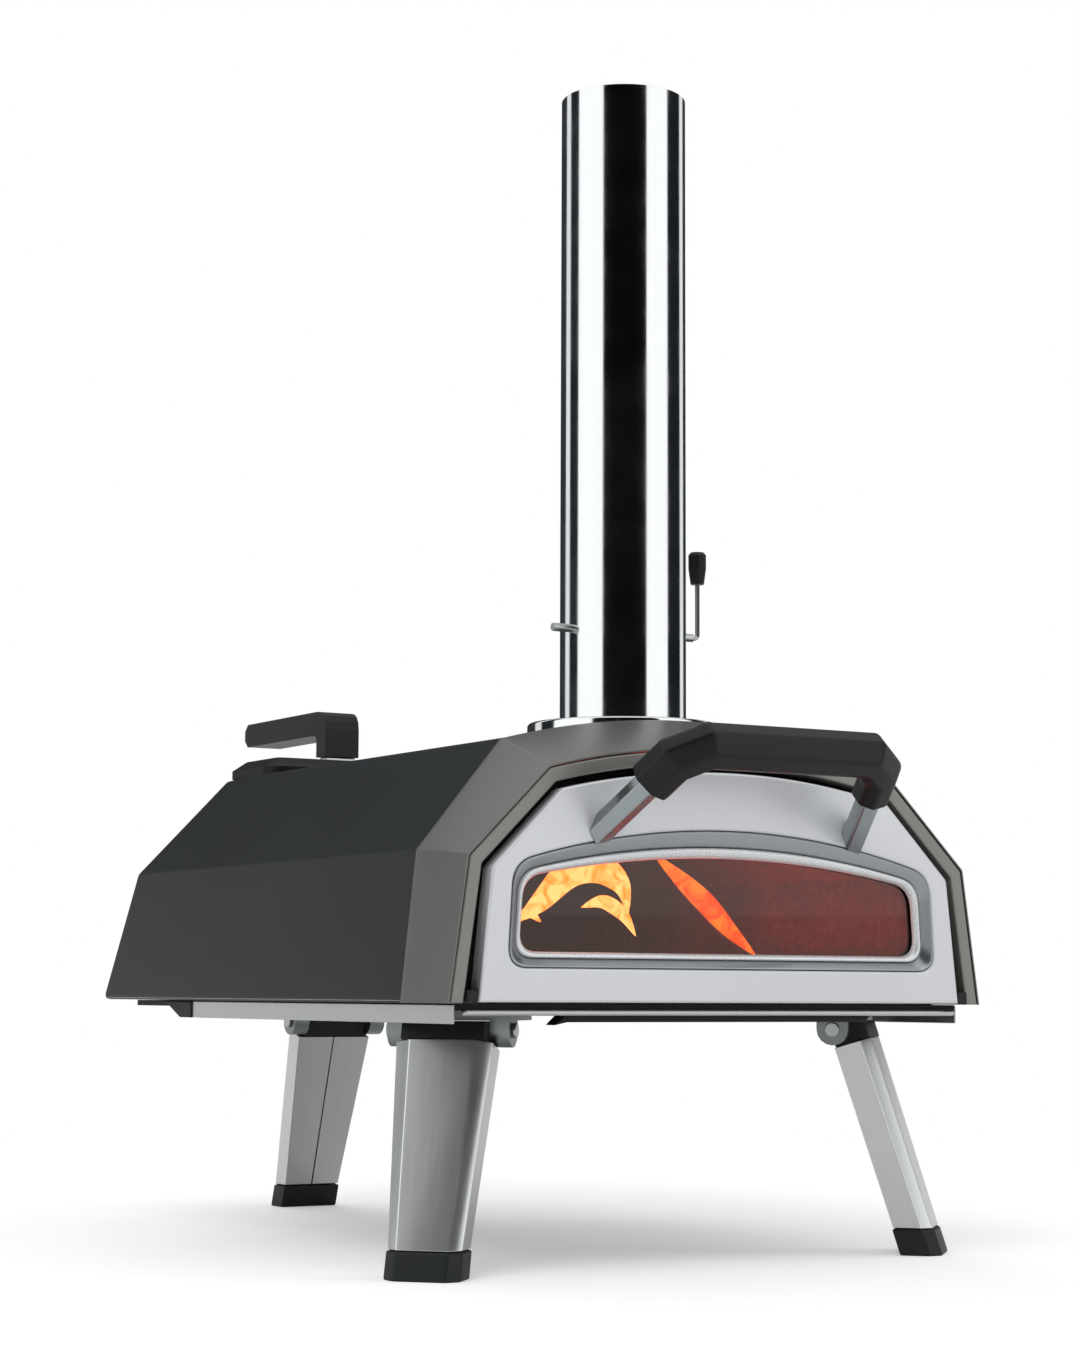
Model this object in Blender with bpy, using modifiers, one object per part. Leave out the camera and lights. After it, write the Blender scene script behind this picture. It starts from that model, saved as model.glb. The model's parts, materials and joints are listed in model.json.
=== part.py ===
"""Portable pizza oven: a faceted steel body on three folding legs, with a drop-down
glazed door, a rear fuel hopper with a hinged hatch, a fuel tray that slides out and a
chimney with a damper.

Metres, +Z up. X runs across the oven, -Y is the front, and the feet stand on Z = 0.
The origin is under the middle of the whole object. Depths are counted back from the
front rim's face, which lies at RIM_Y.
"""
import math

import bmesh
import bpy
from mathutils import Matrix, Vector

# General stock and clearances
CLEAR = 0.0003
SHEET = 0.0010
OVERRUN = 0.0100
MERGE = 0.00001
ARC_POINTS = 10
ROUND_SIDES = 48
SMALL_SIDES = 16
SMOOTH_ANGLE = math.radians(30)

# Body profile: lower side facets, upper side facets and an arched crown
BODY_Z = 0.1643
HALF_BOTTOM = 0.2038
SIDE_LEAN = 0.0101
SIDE_RISE = 0.0922
SHOULDER_RUN = 0.0577
BODY_HEIGHT = 0.1797
ARCH_RADIUS = 0.533

# Body lengths, counted back from the front rim
HOOD_DEPTH = 0.0505
HOOD_LAP = 0.0040
REAR_DEPTH = 0.5285
RAKE = math.radians(22.5)
PANEL_INSET = 0.0035
PANEL_SHEET = 0.0012
RETURN_FLANGE = 0.0240
LINER_GAP = 0.0160

# The hood narrows from the body to the front rim by these steps
FRONT_STEP_BOTTOM = 0.0038
FRONT_STEP_BREAK = 0.0064
FRONT_STEP_BREAK_Z = 0.0040
FRONT_STEP_TOP = 0.0047
FRONT_STEP_PEAK = 0.0199
SEAM = 0.0006
RIM_WIDTH = 0.0090
RIM_DEPTH = 0.0178

# Door, measured from the rim's inner edge
DOOR_BOTTOM_GAP = 0.0007
DOOR_SIDE_GAP = 0.0088
DOOR_BREAK_GAP = 0.0056
DOOR_BREAK_DROP = 0.0020
DOOR_TOP_GAP = 0.0030
DOOR_PEAK_GAP = 0.0050
DOOR_PROUD = 0.0028
DOOR_DEPTH = 0.0133
DOOR_SKIN_INSET = 0.0015
GASKET_GAP = 0.0006
GASKET_LAP = 0.0100
FRAME_LAP = 0.0130
SILL_HEIGHT = 0.0150

# Door hinge: two stub pins at the lower corners
HINGE_Y = 0.0030
HINGE_RISE = 0.0040
HINGE_PIN_RADIUS = 0.0018
HINGE_PIN_SOCKET = 0.0100
BRACKET_HEIGHT = 0.0080
BRACKET_DEPTH = 0.0100

# Window in the door: a bezel that slopes in to the glass
WINDOW_SIDE = 0.0200
WINDOW_RISE = 0.0208
WINDOW_LEAN = 0.0037
WINDOW_DROP = 0.0368
WINDOW_CORNER = 0.0130
BEZEL_WIDTH = 0.0108
BEZEL_RISE = 0.0095
BEZEL_DROP = 0.0169
BEZEL_LEAN = 0.0032
GLASS_ARCH_RADIUS = 0.720
BEZEL_SHEET = 0.0012
BEZEL_DEPTH = 0.0090
GLASS_THICKNESS = 0.0040
GLASS_LAP = 0.0030
CORNER_STEPS = 4

# Door handle: two bright posts and a black grip across them
POST_HALF_SPAN = 0.0953
POST_DROP = 0.0380
BAR_HALF_SPAN = 0.0735
BAR_REACH = 0.0632
BAR_RISE = 0.0475
GRIP_HEIGHT = 0.0280
GRIP_DEPTH = 0.0236
GRIP_CHAMFER_SHARE = 0.30
GRIP_CORNER = 0.0140
POST_SHARE = 0.55
POST_WIDTH = 0.0180
POST_SIDES = 6

# Base
PAN_SIDE_GAP = 0.0153
PAN_HEIGHT = 0.0040
PAN_SHEET = 0.0012
PAN_FRONT = 0.0120
PAN_REAR_INSET = 0.0285
RAIL_SHEET = 0.0012
RAIL_HEIGHT = 0.0115
RAIL_DROP = 0.0008
RAIL_LENGTH = 0.3830
CAP_LENGTH_BOTTOM = 0.0200
CAP_LENGTH_TOP = 0.0480
CAP_WIDTH = 0.0024
LIP_HEIGHT = 0.0035
LIP_DEPTH = 0.0050
LIP_INSET = 0.0035
LIP_RISE = 0.0005
STIFFENER_INSET = 0.0685
STIFFENER_HEIGHT = 0.0067
STIFFENER_DEPTH = 0.0120
STIFFENER_SLANT = 0.0100
STIFFENER_TIP = 0.0020
STIFFENER_CHAMFER = 0.0040

# Oven floor and baking stone
FLOOR_FRONT = 0.0240
FLOOR_REAR_INSET = 0.0785
FLOOR_THICKNESS = 0.0160
FLOOR_SIDE_GAP = 0.0005
STONE_DEPTH = 0.3350
STONE_THICKNESS = 0.0100
STONE_FRONT_GAP = 0.0060
STONE_SIDE_GAP = 0.0193
STONE_BEVEL = 0.0015
SUPPORT_HEIGHT = 0.0055
SUPPORT_WIDTH = 0.0200
SUPPORT_INSET = 0.0060

# Fuel hopper, tray and hatch
HOPPER_HALF = 0.0780
HOPPER_LENGTH = 0.0515
PORT_INSET = 0.0130
PORT_HEIGHT = 0.1050
THROAT_INSET = 0.0180
THROAT_LENGTH = 0.0620
THROAT_REAR_INSET = 0.0060
TRAY_INSET = 0.0190
TRAY_LENGTH = 0.1200
TRAY_HEIGHT = 0.0300
TRAY_SHEET = 0.0010
TRAY_CLEAR = 0.0010
TRAY_END_LAP = 0.0060
TRAY_END_SHEET = 0.0012
GRATE_DROP = 0.0100
GRATE_THICKNESS = 0.0020
GRATE_SLOTS = 5
GRATE_SLOT_SHARE = 0.45
PULL_REACH = 0.0180
PULL_HALF = 0.0200
PULL_THICKNESS = 0.0030
LID_SIDE_LAP = 0.0040
LID_LENGTH = 0.0850
LID_REAR_LAP = 0.0050
LID_EDGE = 0.0065
LID_CROWN = 0.0075
LID_CHAMFER = 0.0110
LID_CORNER = 0.0180
HATCH_PIN_RADIUS = 0.0010
HATCH_KNUCKLE_WALL = 0.0026
HATCH_KNUCKLE_HALF = 0.0200
HATCH_EAR_THICKNESS = 0.0025
HATCH_AXIS_RISE = 0.0046
HATCH_EAR_RADIUS = 0.0023

# Hatch handle: a post with a bar that runs back from it
HANDLE_POST_INSET = 0.0420
HANDLE_POST_LENGTH = 0.0160
HANDLE_HALF = 0.0150
HANDLE_BAR_HEIGHT = 0.0190
HANDLE_RISE = 0.0425
HANDLE_REACH = 0.1110
HANDLE_CHAMFER = 0.0055
HANDLE_CORNER = 0.0150
FERRULE_HEIGHT = 0.0050
FERRULE_INSET = 0.0020

# Chimney and damper
CHIMNEY_DEPTH = 0.1238
CHIMNEY_RADIUS = 0.0423
CHIMNEY_WALL = 0.0010
CHIMNEY_HEIGHT = 0.4288
COLLAR_RADIUS = 0.0640
COLLAR_RISE = 0.0050
SPIGOT_ABOVE = 0.0190
SPIGOT_BELOW = 0.0040
AXLE_RISE = 0.0622
AXLE_RADIUS = 0.0028
AXLE_CHAMFER = 0.0009
AXLE_LEFT_REACH = 0.0133
AXLE_RIGHT_REACH = 0.0143
DISC_GAP = 0.0015
DISC_THICKNESS = 0.0012
WIRE_RADIUS = 0.0016
WIRE_OUT = 0.0036
WIRE_BEND = 0.0018
WIRE_BEND_SHARE = 1 / 3
WIRE_RISE = 0.0370
KNOB_HEIGHT = 0.0220
KNOB_RADIUS = 0.0062
KNOB_END_SHARE = 0.75
KNOB_EDGE = 0.0020

# Legs: three folded steel channels, hinged under the base
LEG_PIVOT_DROP = 0.0125
FRONT_PIVOT_INSET = 0.0385
FRONT_PIVOT_DEPTH = 0.0850
REAR_PIVOT_INSET = 0.0300
LEG_SPLAY = math.radians(17.4)
LEG_WALL = 0.0012
LEG_DEPTH = 0.0240
LEG_PIVOT_INSET = 0.0035
LEG_BEVEL = 0.0065
LEG_FACE_TOP = 0.0207
LEG_FACE_FOOT = 0.0162
LEG_HALF_TOP = 0.0309
LEG_HALF_FOOT = 0.0232
LEG_SEAM = 0.0010
LEG_START = 0.0118
FOOT_HEIGHT = 0.0170
FOOT_LIP = 0.0010
FOOT_PLUG = 0.0100
BLOCK_HALF = 0.0266
BLOCK_PLUG = 0.0180
BLOCK_PLUG_DEPTH = 0.0140
BOLT_RADIUS = 0.0017
BOLT_HEAD_RADIUS = 0.0048
BOLT_HEAD_HEIGHT = 0.0022
EAR_THICKNESS = 0.0125
EAR_RADIUS = 0.0105
BRACKET_INNER = 0.0450
BRACKET_OUTER = 0.0112
BRACKET_PLATE = 0.0062

# Where the pieces meet, worked out from the sizes above
HALF_BREAK = HALF_BOTTOM - SIDE_LEAN
HALF_TOP = HALF_BREAK - SHOULDER_RUN
BREAK_Z = BODY_Z + SIDE_RISE
PEAK_Z = BODY_Z + BODY_HEIGHT
HOPPER_REAR = REAR_DEPTH + HOPPER_LENGTH
LID_REAR = HOPPER_REAR + LID_REAR_LAP
LID_FRONT = LID_REAR - LID_LENGTH
HANDLE_POST_FRONT = LID_REAR - HANDLE_POST_INSET
HANDLE_REAR = LID_REAR + HANDLE_REACH
FRONT_REACH = DOOR_PROUD + BAR_REACH + GRIP_DEPTH / 2
RIM_Y = (FRONT_REACH - HANDLE_REAR) / 2
PAN_Z = BODY_Z - CLEAR - PAN_HEIGHT
PAN_HALF = HALF_BOTTOM - PAN_SIDE_GAP
PAN_REAR = REAR_DEPTH - PAN_REAR_INSET
STIFFENER_HALF = PAN_HALF - STIFFENER_INSET
FLOOR_REAR = REAR_DEPTH - FLOOR_REAR_INSET
PORT_HALF = HOPPER_HALF - PORT_INSET
THROAT_HALF = HOPPER_HALF - THROAT_INSET
THROAT_REAR = HOPPER_REAR - THROAT_REAR_INSET
THROAT_FRONT = THROAT_REAR - THROAT_LENGTH
TRAY_HALF = HOPPER_HALF - TRAY_INSET
TRAY_FRONT = HOPPER_REAR - TRAY_LENGTH
LID_HALF = HOPPER_HALF + LID_SIDE_LAP
LEG_PIVOT_Z = PAN_Z - LEG_PIVOT_DROP
FRONT_PIVOT_X = PAN_HALF - FRONT_PIVOT_INSET
REAR_PIVOT_DEPTH = HOPPER_REAR - REAR_PIVOT_INSET
FLANGE_TOP = BODY_Z + SHEET + CLEAR
FLOOR_Z = PAN_Z + PAN_SHEET + CLEAR
LINER_PEAK_Z = PEAK_Z - LINER_GAP
TRAY_Z = BODY_Z + SHEET + CLEAR
CHIMNEY_Y = RIM_Y + CHIMNEY_DEPTH
CHIMNEY_Z = PEAK_Z + COLLAR_RISE + CLEAR
CHIMNEY_TOP = CHIMNEY_Z + CHIMNEY_HEIGHT
AXLE_Z = CHIMNEY_Z + AXLE_RISE
AXLE_LEFT = CHIMNEY_RADIUS + AXLE_LEFT_REACH
AXLE_RIGHT = CHIMNEY_RADIUS + AXLE_RIGHT_REACH
CHIMNEY_BORE = CHIMNEY_RADIUS - CHIMNEY_WALL
SPIGOT_RADIUS = CHIMNEY_BORE - CLEAR - CLEAR
HINGE_Z = BODY_Z + HINGE_RISE
HINGE_AXIS_Y = RIM_Y + HINGE_Y
DOOR_Y = RIM_Y - DOOR_PROUD
DOOR_BACK_Y = DOOR_Y + DOOR_DEPTH
SKIN_BACK_Y = DOOR_BACK_Y + CLEAR + SHEET
FRAME_Y = RIM_Y + RIM_DEPTH + CLEAR


def start_scene():
    """Clear the scene and make one collection for the parts and one for the cutters."""
    for item in list(bpy.data.objects):
        bpy.data.objects.remove(item)
    parts = bpy.data.collections.new("pizza_oven")
    cutters = bpy.data.collections.new("pizza_oven_cutters")
    bpy.context.scene.collection.children.link(parts)
    bpy.context.scene.collection.children.link(cutters)
    return parts, cutters


PARTS, CUTTERS = start_scene()


def material(name, colour, roughness, metallic):
    """A Principled material with one plain colour."""
    made = bpy.data.materials.new(name)
    made.use_nodes = True
    shader = made.node_tree.nodes["Principled BSDF"]
    shader.inputs["Base Color"].default_value = (*colour, 1.0)
    shader.inputs["Roughness"].default_value = roughness
    shader.inputs["Metallic"].default_value = metallic
    made.diffuse_color = (*colour, 1.0)
    return made


LOOKS = {
    "charcoal": ((0.030, 0.033, 0.036), 0.45, 0.6),
    "hood_grey": ((0.110, 0.112, 0.112), 0.40, 0.7),
    "rim_grey": ((0.200, 0.200, 0.190), 0.40, 0.8),
    "door_silver": ((0.600, 0.620, 0.650), 0.35, 0.9),
    "bezel_grey": ((0.200, 0.215, 0.225), 0.30, 0.8),
    "stainless": ((0.550, 0.560, 0.560), 0.22, 1.0),
    "black_plastic": ((0.012, 0.012, 0.014), 0.55, 0.0),
    "black_steel": ((0.015, 0.016, 0.017), 0.60, 0.3),
    "dark_liner": ((0.060, 0.055, 0.050), 0.50, 0.8),
    "wool": ((0.550, 0.520, 0.450), 0.95, 0.0),
    "stone": ((0.480, 0.400, 0.300), 0.85, 0.0),
    "glass": ((0.250, 0.120, 0.040), 0.05, 0.0),
    "gasket_black": ((0.010, 0.010, 0.010), 0.90, 0.0),
}


def finish(item, name, look):
    """Name an object, give it a material of its own and file it with the parts."""
    item.name = name
    item.data.name = name
    item.data.materials.clear()
    item.data.materials.append(material(name + "_look", *LOOKS[look]))
    for holder in list(item.users_collection):
        holder.objects.unlink(item)
    PARTS.objects.link(item)
    item.data.shade_smooth()
    item.data.set_sharp_from_angle(angle=SMOOTH_ANGLE)
    return item


def as_cutter(item, name):
    """File an object as a hidden cutter."""
    item.name = name
    item.hide_render = True
    item.display_type = "WIRE"
    for holder in list(item.users_collection):
        holder.objects.unlink(item)
    CUTTERS.objects.link(item)
    return item


def boolean(item, tool, operation):
    """Cut or join one mesh with another, with Blender's exact solver."""
    step = item.modifiers.new(tool.name, "BOOLEAN")
    step.operation = operation
    step.object = tool
    step.solver = "EXACT"


def bevel(item, width, segments):
    """Round or chamfer the sharp edges of a mesh."""
    step = item.modifiers.new("edges", "BEVEL")
    step.width = width
    step.segments = segments
    step.limit_method = "ANGLE"
    step.angle_limit = SMOOTH_ANGLE


def meshed(curve):
    """Turn a curve object into a mesh object with its caps welded on."""
    depsgraph = bpy.context.evaluated_depsgraph_get()
    mesh = bpy.data.meshes.new_from_object(curve.evaluated_get(depsgraph))
    welded = bmesh.new()
    welded.from_mesh(mesh)
    bmesh.ops.remove_doubles(welded, verts=welded.verts, dist=MERGE)
    bmesh.ops.recalc_face_normals(welded, faces=welded.faces)
    welded.to_mesh(mesh)
    welded.free()
    item = bpy.data.objects.new(curve.name, mesh)
    bpy.context.scene.collection.objects.link(item)
    item.matrix_world = curve.matrix_world.copy()
    bpy.data.objects.remove(curve)
    return item


def placed_on_floor(height):
    """A matrix that lays a flat outline level at a height."""
    return Matrix.Translation((0, 0, height))


def placed_upright(depth_y):
    """A matrix that stands a flat outline up, facing -Y, at a depth."""
    return Matrix.Translation((0, depth_y, 0)) @ Matrix.Rotation(math.radians(90), 4, "X")


def placed_sideways(x):
    """A matrix that stands a flat outline of (y, z) points up, facing +X."""
    turn = Matrix(((0, 0, 1, 0), (1, 0, 0, 0), (0, 1, 0, 0), (0, 0, 0, 1)))
    return Matrix.Translation((x, 0, 0)) @ turn


def flat(name, loops, thickness, matrix):
    """A flat plate from closed outlines, its middle plane placed by the matrix."""
    data = bpy.data.curves.new(name, "CURVE")
    data.dimensions = "2D"
    data.fill_mode = "BOTH"
    data.extrude = thickness / 2
    for loop in loops:
        spline = data.splines.new("POLY")
        spline.points.add(len(loop) - 1)
        spline.use_cyclic_u = True
        for point, (across, up) in zip(spline.points, loop):
            point.co = (across, up, 0, 1)
    curve = bpy.data.objects.new(name, data)
    bpy.context.scene.collection.objects.link(curve)
    curve.matrix_world = matrix
    bpy.context.view_layer.update()
    return meshed(curve)


def box(low, high):
    """A box between two corners, made from the primitive cube."""
    size = [top - bottom for bottom, top in zip(low, high)]
    middle = [(top + bottom) / 2 for bottom, top in zip(low, high)]
    bpy.ops.mesh.primitive_cube_add(size=1, location=middle)
    item = bpy.context.object
    item.data.transform(Matrix.Diagonal((*size, 1)))
    return item


def rod(start, end, radius, sides):
    """A cylinder from one point to another."""
    start = Vector(start)
    end = Vector(end)
    middle = (start + end) / 2
    turn = (end - start).to_track_quat("Z", "Y").to_euler()
    bpy.ops.mesh.primitive_cylinder_add(
        vertices=sides,
        radius=radius,
        depth=(end - start).length,
        location=middle,
        rotation=turn,
    )
    bpy.context.view_layer.update()
    return bpy.context.object


def turned(name, profile, matrix, sides):
    """A round piece: a (radius, height) profile turned about Z by a Screw modifier."""
    mesh = bpy.data.meshes.new(name)
    points = [(radius, 0, height) for radius, height in profile]
    edges = [(i, (i + 1) % len(points)) for i in range(len(points))]
    if profile[0][0] == 0:
        edges.pop()
    mesh.from_pydata(points, edges, [])
    item = bpy.data.objects.new(name, mesh)
    bpy.context.scene.collection.objects.link(item)
    item.matrix_world = matrix
    screw = item.modifiers.new("turn", "SCREW")
    screw.steps = sides
    screw.render_steps = sides
    screw.use_merge_vertices = True
    screw.merge_threshold = MERGE
    return item


def tube_profile(outer, inner, low, high):
    """The closed profile of a tube, down its outer side first."""
    return [(outer, high), (outer, low), (inner, low), (inner, high)]


def skin(name, rows, thickness, closed):
    """A sheet through rows of matching points, thickened inwards by Solidify."""
    count = len(rows[0])
    points = [point for row in rows for point in row]
    last = count if closed else count - 1
    faces = []
    for step in range(len(rows) - 1):
        near = step * count
        far = near + count
        for i in range(last):
            j = (i + 1) % count
            faces.append((near + i, near + j, far + j, far + i))
    mesh = bpy.data.meshes.new(name)
    mesh.from_pydata(points, [], faces)
    item = bpy.data.objects.new(name, mesh)
    bpy.context.scene.collection.objects.link(item)
    wall = item.modifiers.new("wall", "SOLIDIFY")
    wall.thickness = thickness
    wall.offset = -1
    wall.use_even_offset = True
    return item


def stack(name, rings):
    """A closed solid lofted through rings of matching points, with both ends capped."""
    count = len(rings[0])
    built = bmesh.new()
    rows = [[built.verts.new(point) for point in ring] for ring in rings]
    for near, far in zip(rows, rows[1:]):
        for i in range(count):
            j = (i + 1) % count
            built.faces.new((near[i], near[j], far[j], far[i]))
    built.faces.new(rows[0])
    built.faces.new(rows[-1])
    bmesh.ops.recalc_face_normals(built, faces=built.faces)
    mesh = bpy.data.meshes.new(name)
    built.to_mesh(mesh)
    built.free()
    item = bpy.data.objects.new(name, mesh)
    bpy.context.scene.collection.objects.link(item)
    return item


def arch_z(x, peak, radius):
    """Height of the crown's arc at a distance from the middle."""
    return peak - radius + math.sqrt(radius ** 2 - x ** 2)


def house(half_bottom, half_break, break_z, half_top, peak):
    """The body's section as (x, z) points, from its lower left to its lower right."""
    crown = []
    for step in range(ARC_POINTS + 1):
        x = half_top * (2 * step / ARC_POINTS - 1)
        crown.append((x, arch_z(x, peak, ARCH_RADIUS)))
    left = [(-half_bottom, BODY_Z), (-half_break, break_z)]
    right = [(half_break, break_z), (half_bottom, BODY_Z)]
    return left + crown + right


def edge_meet(before, corner, after, distance):
    """Where two edges cross once each has moved inwards by a distance."""
    first = (Vector(corner) - Vector(before)).normalized()
    second = (Vector(after) - Vector(corner)).normalized()
    first_side = Vector((first.y, -first.x))
    second_side = Vector((second.y, -second.x))
    middle = (first_side + second_side).normalized()
    return Vector(corner) + middle * (distance / middle.dot(first_side))


def inset(points, distance, bottom):
    """An open section moved inwards, its two ends kept on the line z = bottom."""
    moved = []
    for before, corner, after in zip(points, points[1:], points[2:]):
        moved.append(tuple(edge_meet(before, corner, after, distance)))
    ends = []
    for end, near, sign in ((points[0], points[1], 1), (points[-1], points[-2], -1)):
        along = (Vector(near) - Vector(end)).normalized()
        shift = sign * distance / abs(along.y)
        rise = bottom - end[1]
        ends.append((end[0] + shift + along.x / along.y * rise, bottom))
    return [ends[0]] + moved + [ends[1]]


def inset_loop(points, distance):
    """A closed clockwise outline moved inwards."""
    count = len(points)
    moved = []
    for i in range(count):
        before = points[i - 1]
        after = points[(i + 1) % count]
        moved.append(tuple(edge_meet(before, points[i], after, distance)))
    return moved


def rounded(points, cut, steps, sharp):
    """A closed outline with its corners curved, but for those listed as sharp."""
    shaped = []
    count = len(points)
    for i in range(count):
        corner = Vector(points[i])
        if i in sharp:
            shaped.append(points[i])
            continue
        start = corner + (Vector(points[i - 1]) - corner).normalized() * cut
        end = corner + (Vector(points[(i + 1) % count]) - corner).normalized() * cut
        for step in range(steps + 1):
            share = step / steps
            near = start.lerp(corner, share)
            far = corner.lerp(end, share)
            shaped.append(tuple(near.lerp(far, share)))
    return shaped


def rear_y(z):
    """Depth of the raked rear edge at a height."""
    return RIM_Y + REAR_DEPTH - (z - BODY_Z) * math.tan(RAKE)


def row_at(section, y):
    """A section's points at one depth."""
    return [(x, y, z) for x, z in section]


def raked_row(section, inset_y):
    """A section's points on the raked rear edge, or in front of it."""
    return [(x, rear_y(z) - inset_y, z) for x, z in section]


def wall_loop(section, thickness):
    """A section's closed outline: its outer line, then its inner line back."""
    return section + inset(section, thickness, section[0][1])[::-1]


SHELL = house(HALF_BOTTOM, HALF_BREAK, BREAK_Z, HALF_TOP, PEAK_Z)
HOOD_REAR = inset(SHELL, -SHEET - CLEAR, BODY_Z)
HOOD_FRONT = house(
    HALF_BOTTOM - FRONT_STEP_BOTTOM,
    HALF_BREAK - FRONT_STEP_BREAK,
    BREAK_Z - FRONT_STEP_BREAK_Z,
    HALF_TOP - FRONT_STEP_TOP,
    PEAK_Z - FRONT_STEP_PEAK,
)
RIM_OUTER = inset(HOOD_FRONT, SHEET + SEAM, BODY_Z)
RIM_INNER = inset(RIM_OUTER, RIM_WIDTH, BODY_Z)
RIM_INNER_PEAK_Z = PEAK_Z - FRONT_STEP_PEAK - SHEET - SEAM - RIM_WIDTH


def door_section():
    """The door's outline, measured from the rim's inner edge."""
    half_bottom = RIM_INNER[-1][0] - DOOR_SIDE_GAP
    half_break, break_z = RIM_INNER[-2]
    half_top = RIM_INNER[-3][0]
    points = house(
        half_bottom,
        half_break - DOOR_BREAK_GAP,
        break_z - DOOR_BREAK_DROP,
        half_top - DOOR_TOP_GAP,
        RIM_INNER_PEAK_Z - DOOR_PEAK_GAP,
    )
    return inset(points, 0, BODY_Z + DOOR_BOTTOM_GAP)


DOOR = door_section()
DOOR_PEAK_Z = RIM_INNER_PEAK_Z - DOOR_PEAK_GAP
HOPPER_TOP_Z = arch_z(HOPPER_HALF, PEAK_Z, ARCH_RADIUS) - SHEET - CLEAR - SHEET
LID_Z = HOPPER_TOP_Z + SHEET + CLEAR + CLEAR
LID_TOP_Z = LID_Z + LID_EDGE + LID_CROWN
HATCH_AXIS_Y = RIM_Y + LID_FRONT - HATCH_EAR_RADIUS - CLEAR - CLEAR
HATCH_AXIS_Z = LID_Z + HATCH_AXIS_RISE


def chimney_hole(item, below, above, clearance):
    """Cut the round way for the chimney through a sheet."""
    hole = rod(
        (0, CHIMNEY_Y, below),
        (0, CHIMNEY_Y, above),
        SPIGOT_RADIUS + clearance,
        ROUND_SIDES,
    )
    boolean(item, as_cutter(hole, item.name + "_chimney_hole"), "DIFFERENCE")


def outer_shell():
    """The body's outer sheet, with flanges turned in along its lower edges."""
    flange = HALF_BOTTOM - RETURN_FLANGE
    section = [(-flange, BODY_Z)] + SHELL + [(flange, BODY_Z)]
    front = row_at(section, RIM_Y + HOOD_DEPTH - HOOD_LAP + CLEAR)
    item = skin("outer_shell", [front, raked_row(section, 0)], SHEET, False)
    chimney_hole(item, LINER_PEAK_Z, CHIMNEY_Z, CLEAR + CLEAR)
    finish(item, "outer_shell", "charcoal")


def front_hood():
    """The grey front hood, which widens from the rim and laps the shell's front edge."""
    rear = wall_loop(HOOD_REAR, SHEET)
    rings = [
        row_at(wall_loop(HOOD_FRONT, SHEET), RIM_Y),
        row_at(rear, RIM_Y + HOOD_DEPTH - HOOD_LAP),
        row_at(rear, RIM_Y + HOOD_DEPTH),
    ]
    finish(stack("front_hood", rings), "front_hood", "hood_grey")


def front_rim():
    """The formed bar round the door opening."""
    loop = RIM_OUTER + RIM_INNER[::-1]
    middle = RIM_Y + RIM_DEPTH / 2
    item = flat("front_rim", [loop], RIM_DEPTH, placed_upright(middle))
    finish(item, "front_rim", "rim_grey")


def door_frame():
    """The sheet behind the rim that the gasket and the oven liner meet."""
    outer = inset(RIM_OUTER, 0, FLANGE_TOP)
    inner = inset(DOOR, FRAME_LAP, BODY_Z + SILL_HEIGHT)
    item = flat("door_frame", [outer, inner], SHEET, placed_upright(FRAME_Y + SHEET / 2))
    finish(item, "door_frame", "black_steel")


def door_gasket():
    """The black rope seal that the door closes against."""
    depth = FRAME_Y - CLEAR - SKIN_BACK_Y - GASKET_GAP
    outer = inset(RIM_INNER, CLEAR, BODY_Z)
    inner = inset(DOOR, GASKET_LAP, BODY_Z)
    middle = FRAME_Y - CLEAR - depth / 2
    loop = outer + inner[::-1]
    item = flat("door_gasket", [loop], depth, placed_upright(middle))
    finish(item, "door_gasket", "gasket_black")


def inner_liner():
    """The oven's inner sheet, open at the front, the back and below."""
    loop = wall_loop(inset(SHELL, LINER_GAP, FLANGE_TOP), SHEET)
    front = row_at(loop, FRAME_Y + SHEET + CLEAR)
    item = stack("inner_liner", [front, raked_row(loop, PANEL_INSET + CLEAR)])
    chimney_hole(item, BREAK_Z, PEAK_Z, CLEAR + CLEAR)
    finish(item, "inner_liner", "dark_liner")


def insulation_blanket():
    """The wool between the liner and the shell."""
    depth = LINER_GAP - SHEET - CLEAR - CLEAR
    loop = wall_loop(inset(SHELL, SHEET + CLEAR, FLANGE_TOP), depth)
    front = row_at(loop, RIM_Y + HOOD_DEPTH)
    item = stack("insulation_blanket", [front, raked_row(loop, PANEL_INSET + CLEAR)])
    chimney_hole(item, BREAK_Z, PEAK_Z, CLEAR + CLEAR)
    finish(item, "insulation_blanket", "wool")


def rear_panel():
    """The raked sheet that closes the back, with the flame port at its foot."""
    section = inset(SHELL, SHEET + CLEAR, FLANGE_TOP)
    front = raked_row(section, PANEL_INSET)
    rear = [(x, y + PANEL_SHEET, z) for x, y, z in front]
    item = stack("rear_panel", [front, rear])
    port = box(
        (-PORT_HALF, rear_y(PEAK_Z) - OVERRUN, PAN_Z),
        (PORT_HALF, RIM_Y + REAR_DEPTH + OVERRUN, BODY_Z + PORT_HEIGHT),
    )
    boolean(item, as_cutter(port, "flame_port_cut"), "DIFFERENCE")
    finish(item, "rear_panel", "black_steel")


def rectangle(low_x, low_y, high_x, high_y):
    """A rectangle's corners, clockwise from its low corner."""
    return [(low_x, low_y), (low_x, high_y), (high_x, high_y), (high_x, low_y)]


def level_slab(name, loops, low, high):
    """A level slab between two heights."""
    return flat(name, loops, high - low, placed_on_floor((low + high) / 2))


def pan_outline():
    """The base pan's plan: full width under the oven and narrow under the hopper."""
    front = RIM_Y + PAN_FRONT
    step = RIM_Y + PAN_REAR
    rear = RIM_Y + HOPPER_REAR
    return [
        (-PAN_HALF, front),
        (-PAN_HALF, step),
        (-HOPPER_HALF, step),
        (-HOPPER_HALF, rear),
        (HOPPER_HALF, rear),
        (HOPPER_HALF, step),
        (PAN_HALF, step),
        (PAN_HALF, front),
    ]


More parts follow.
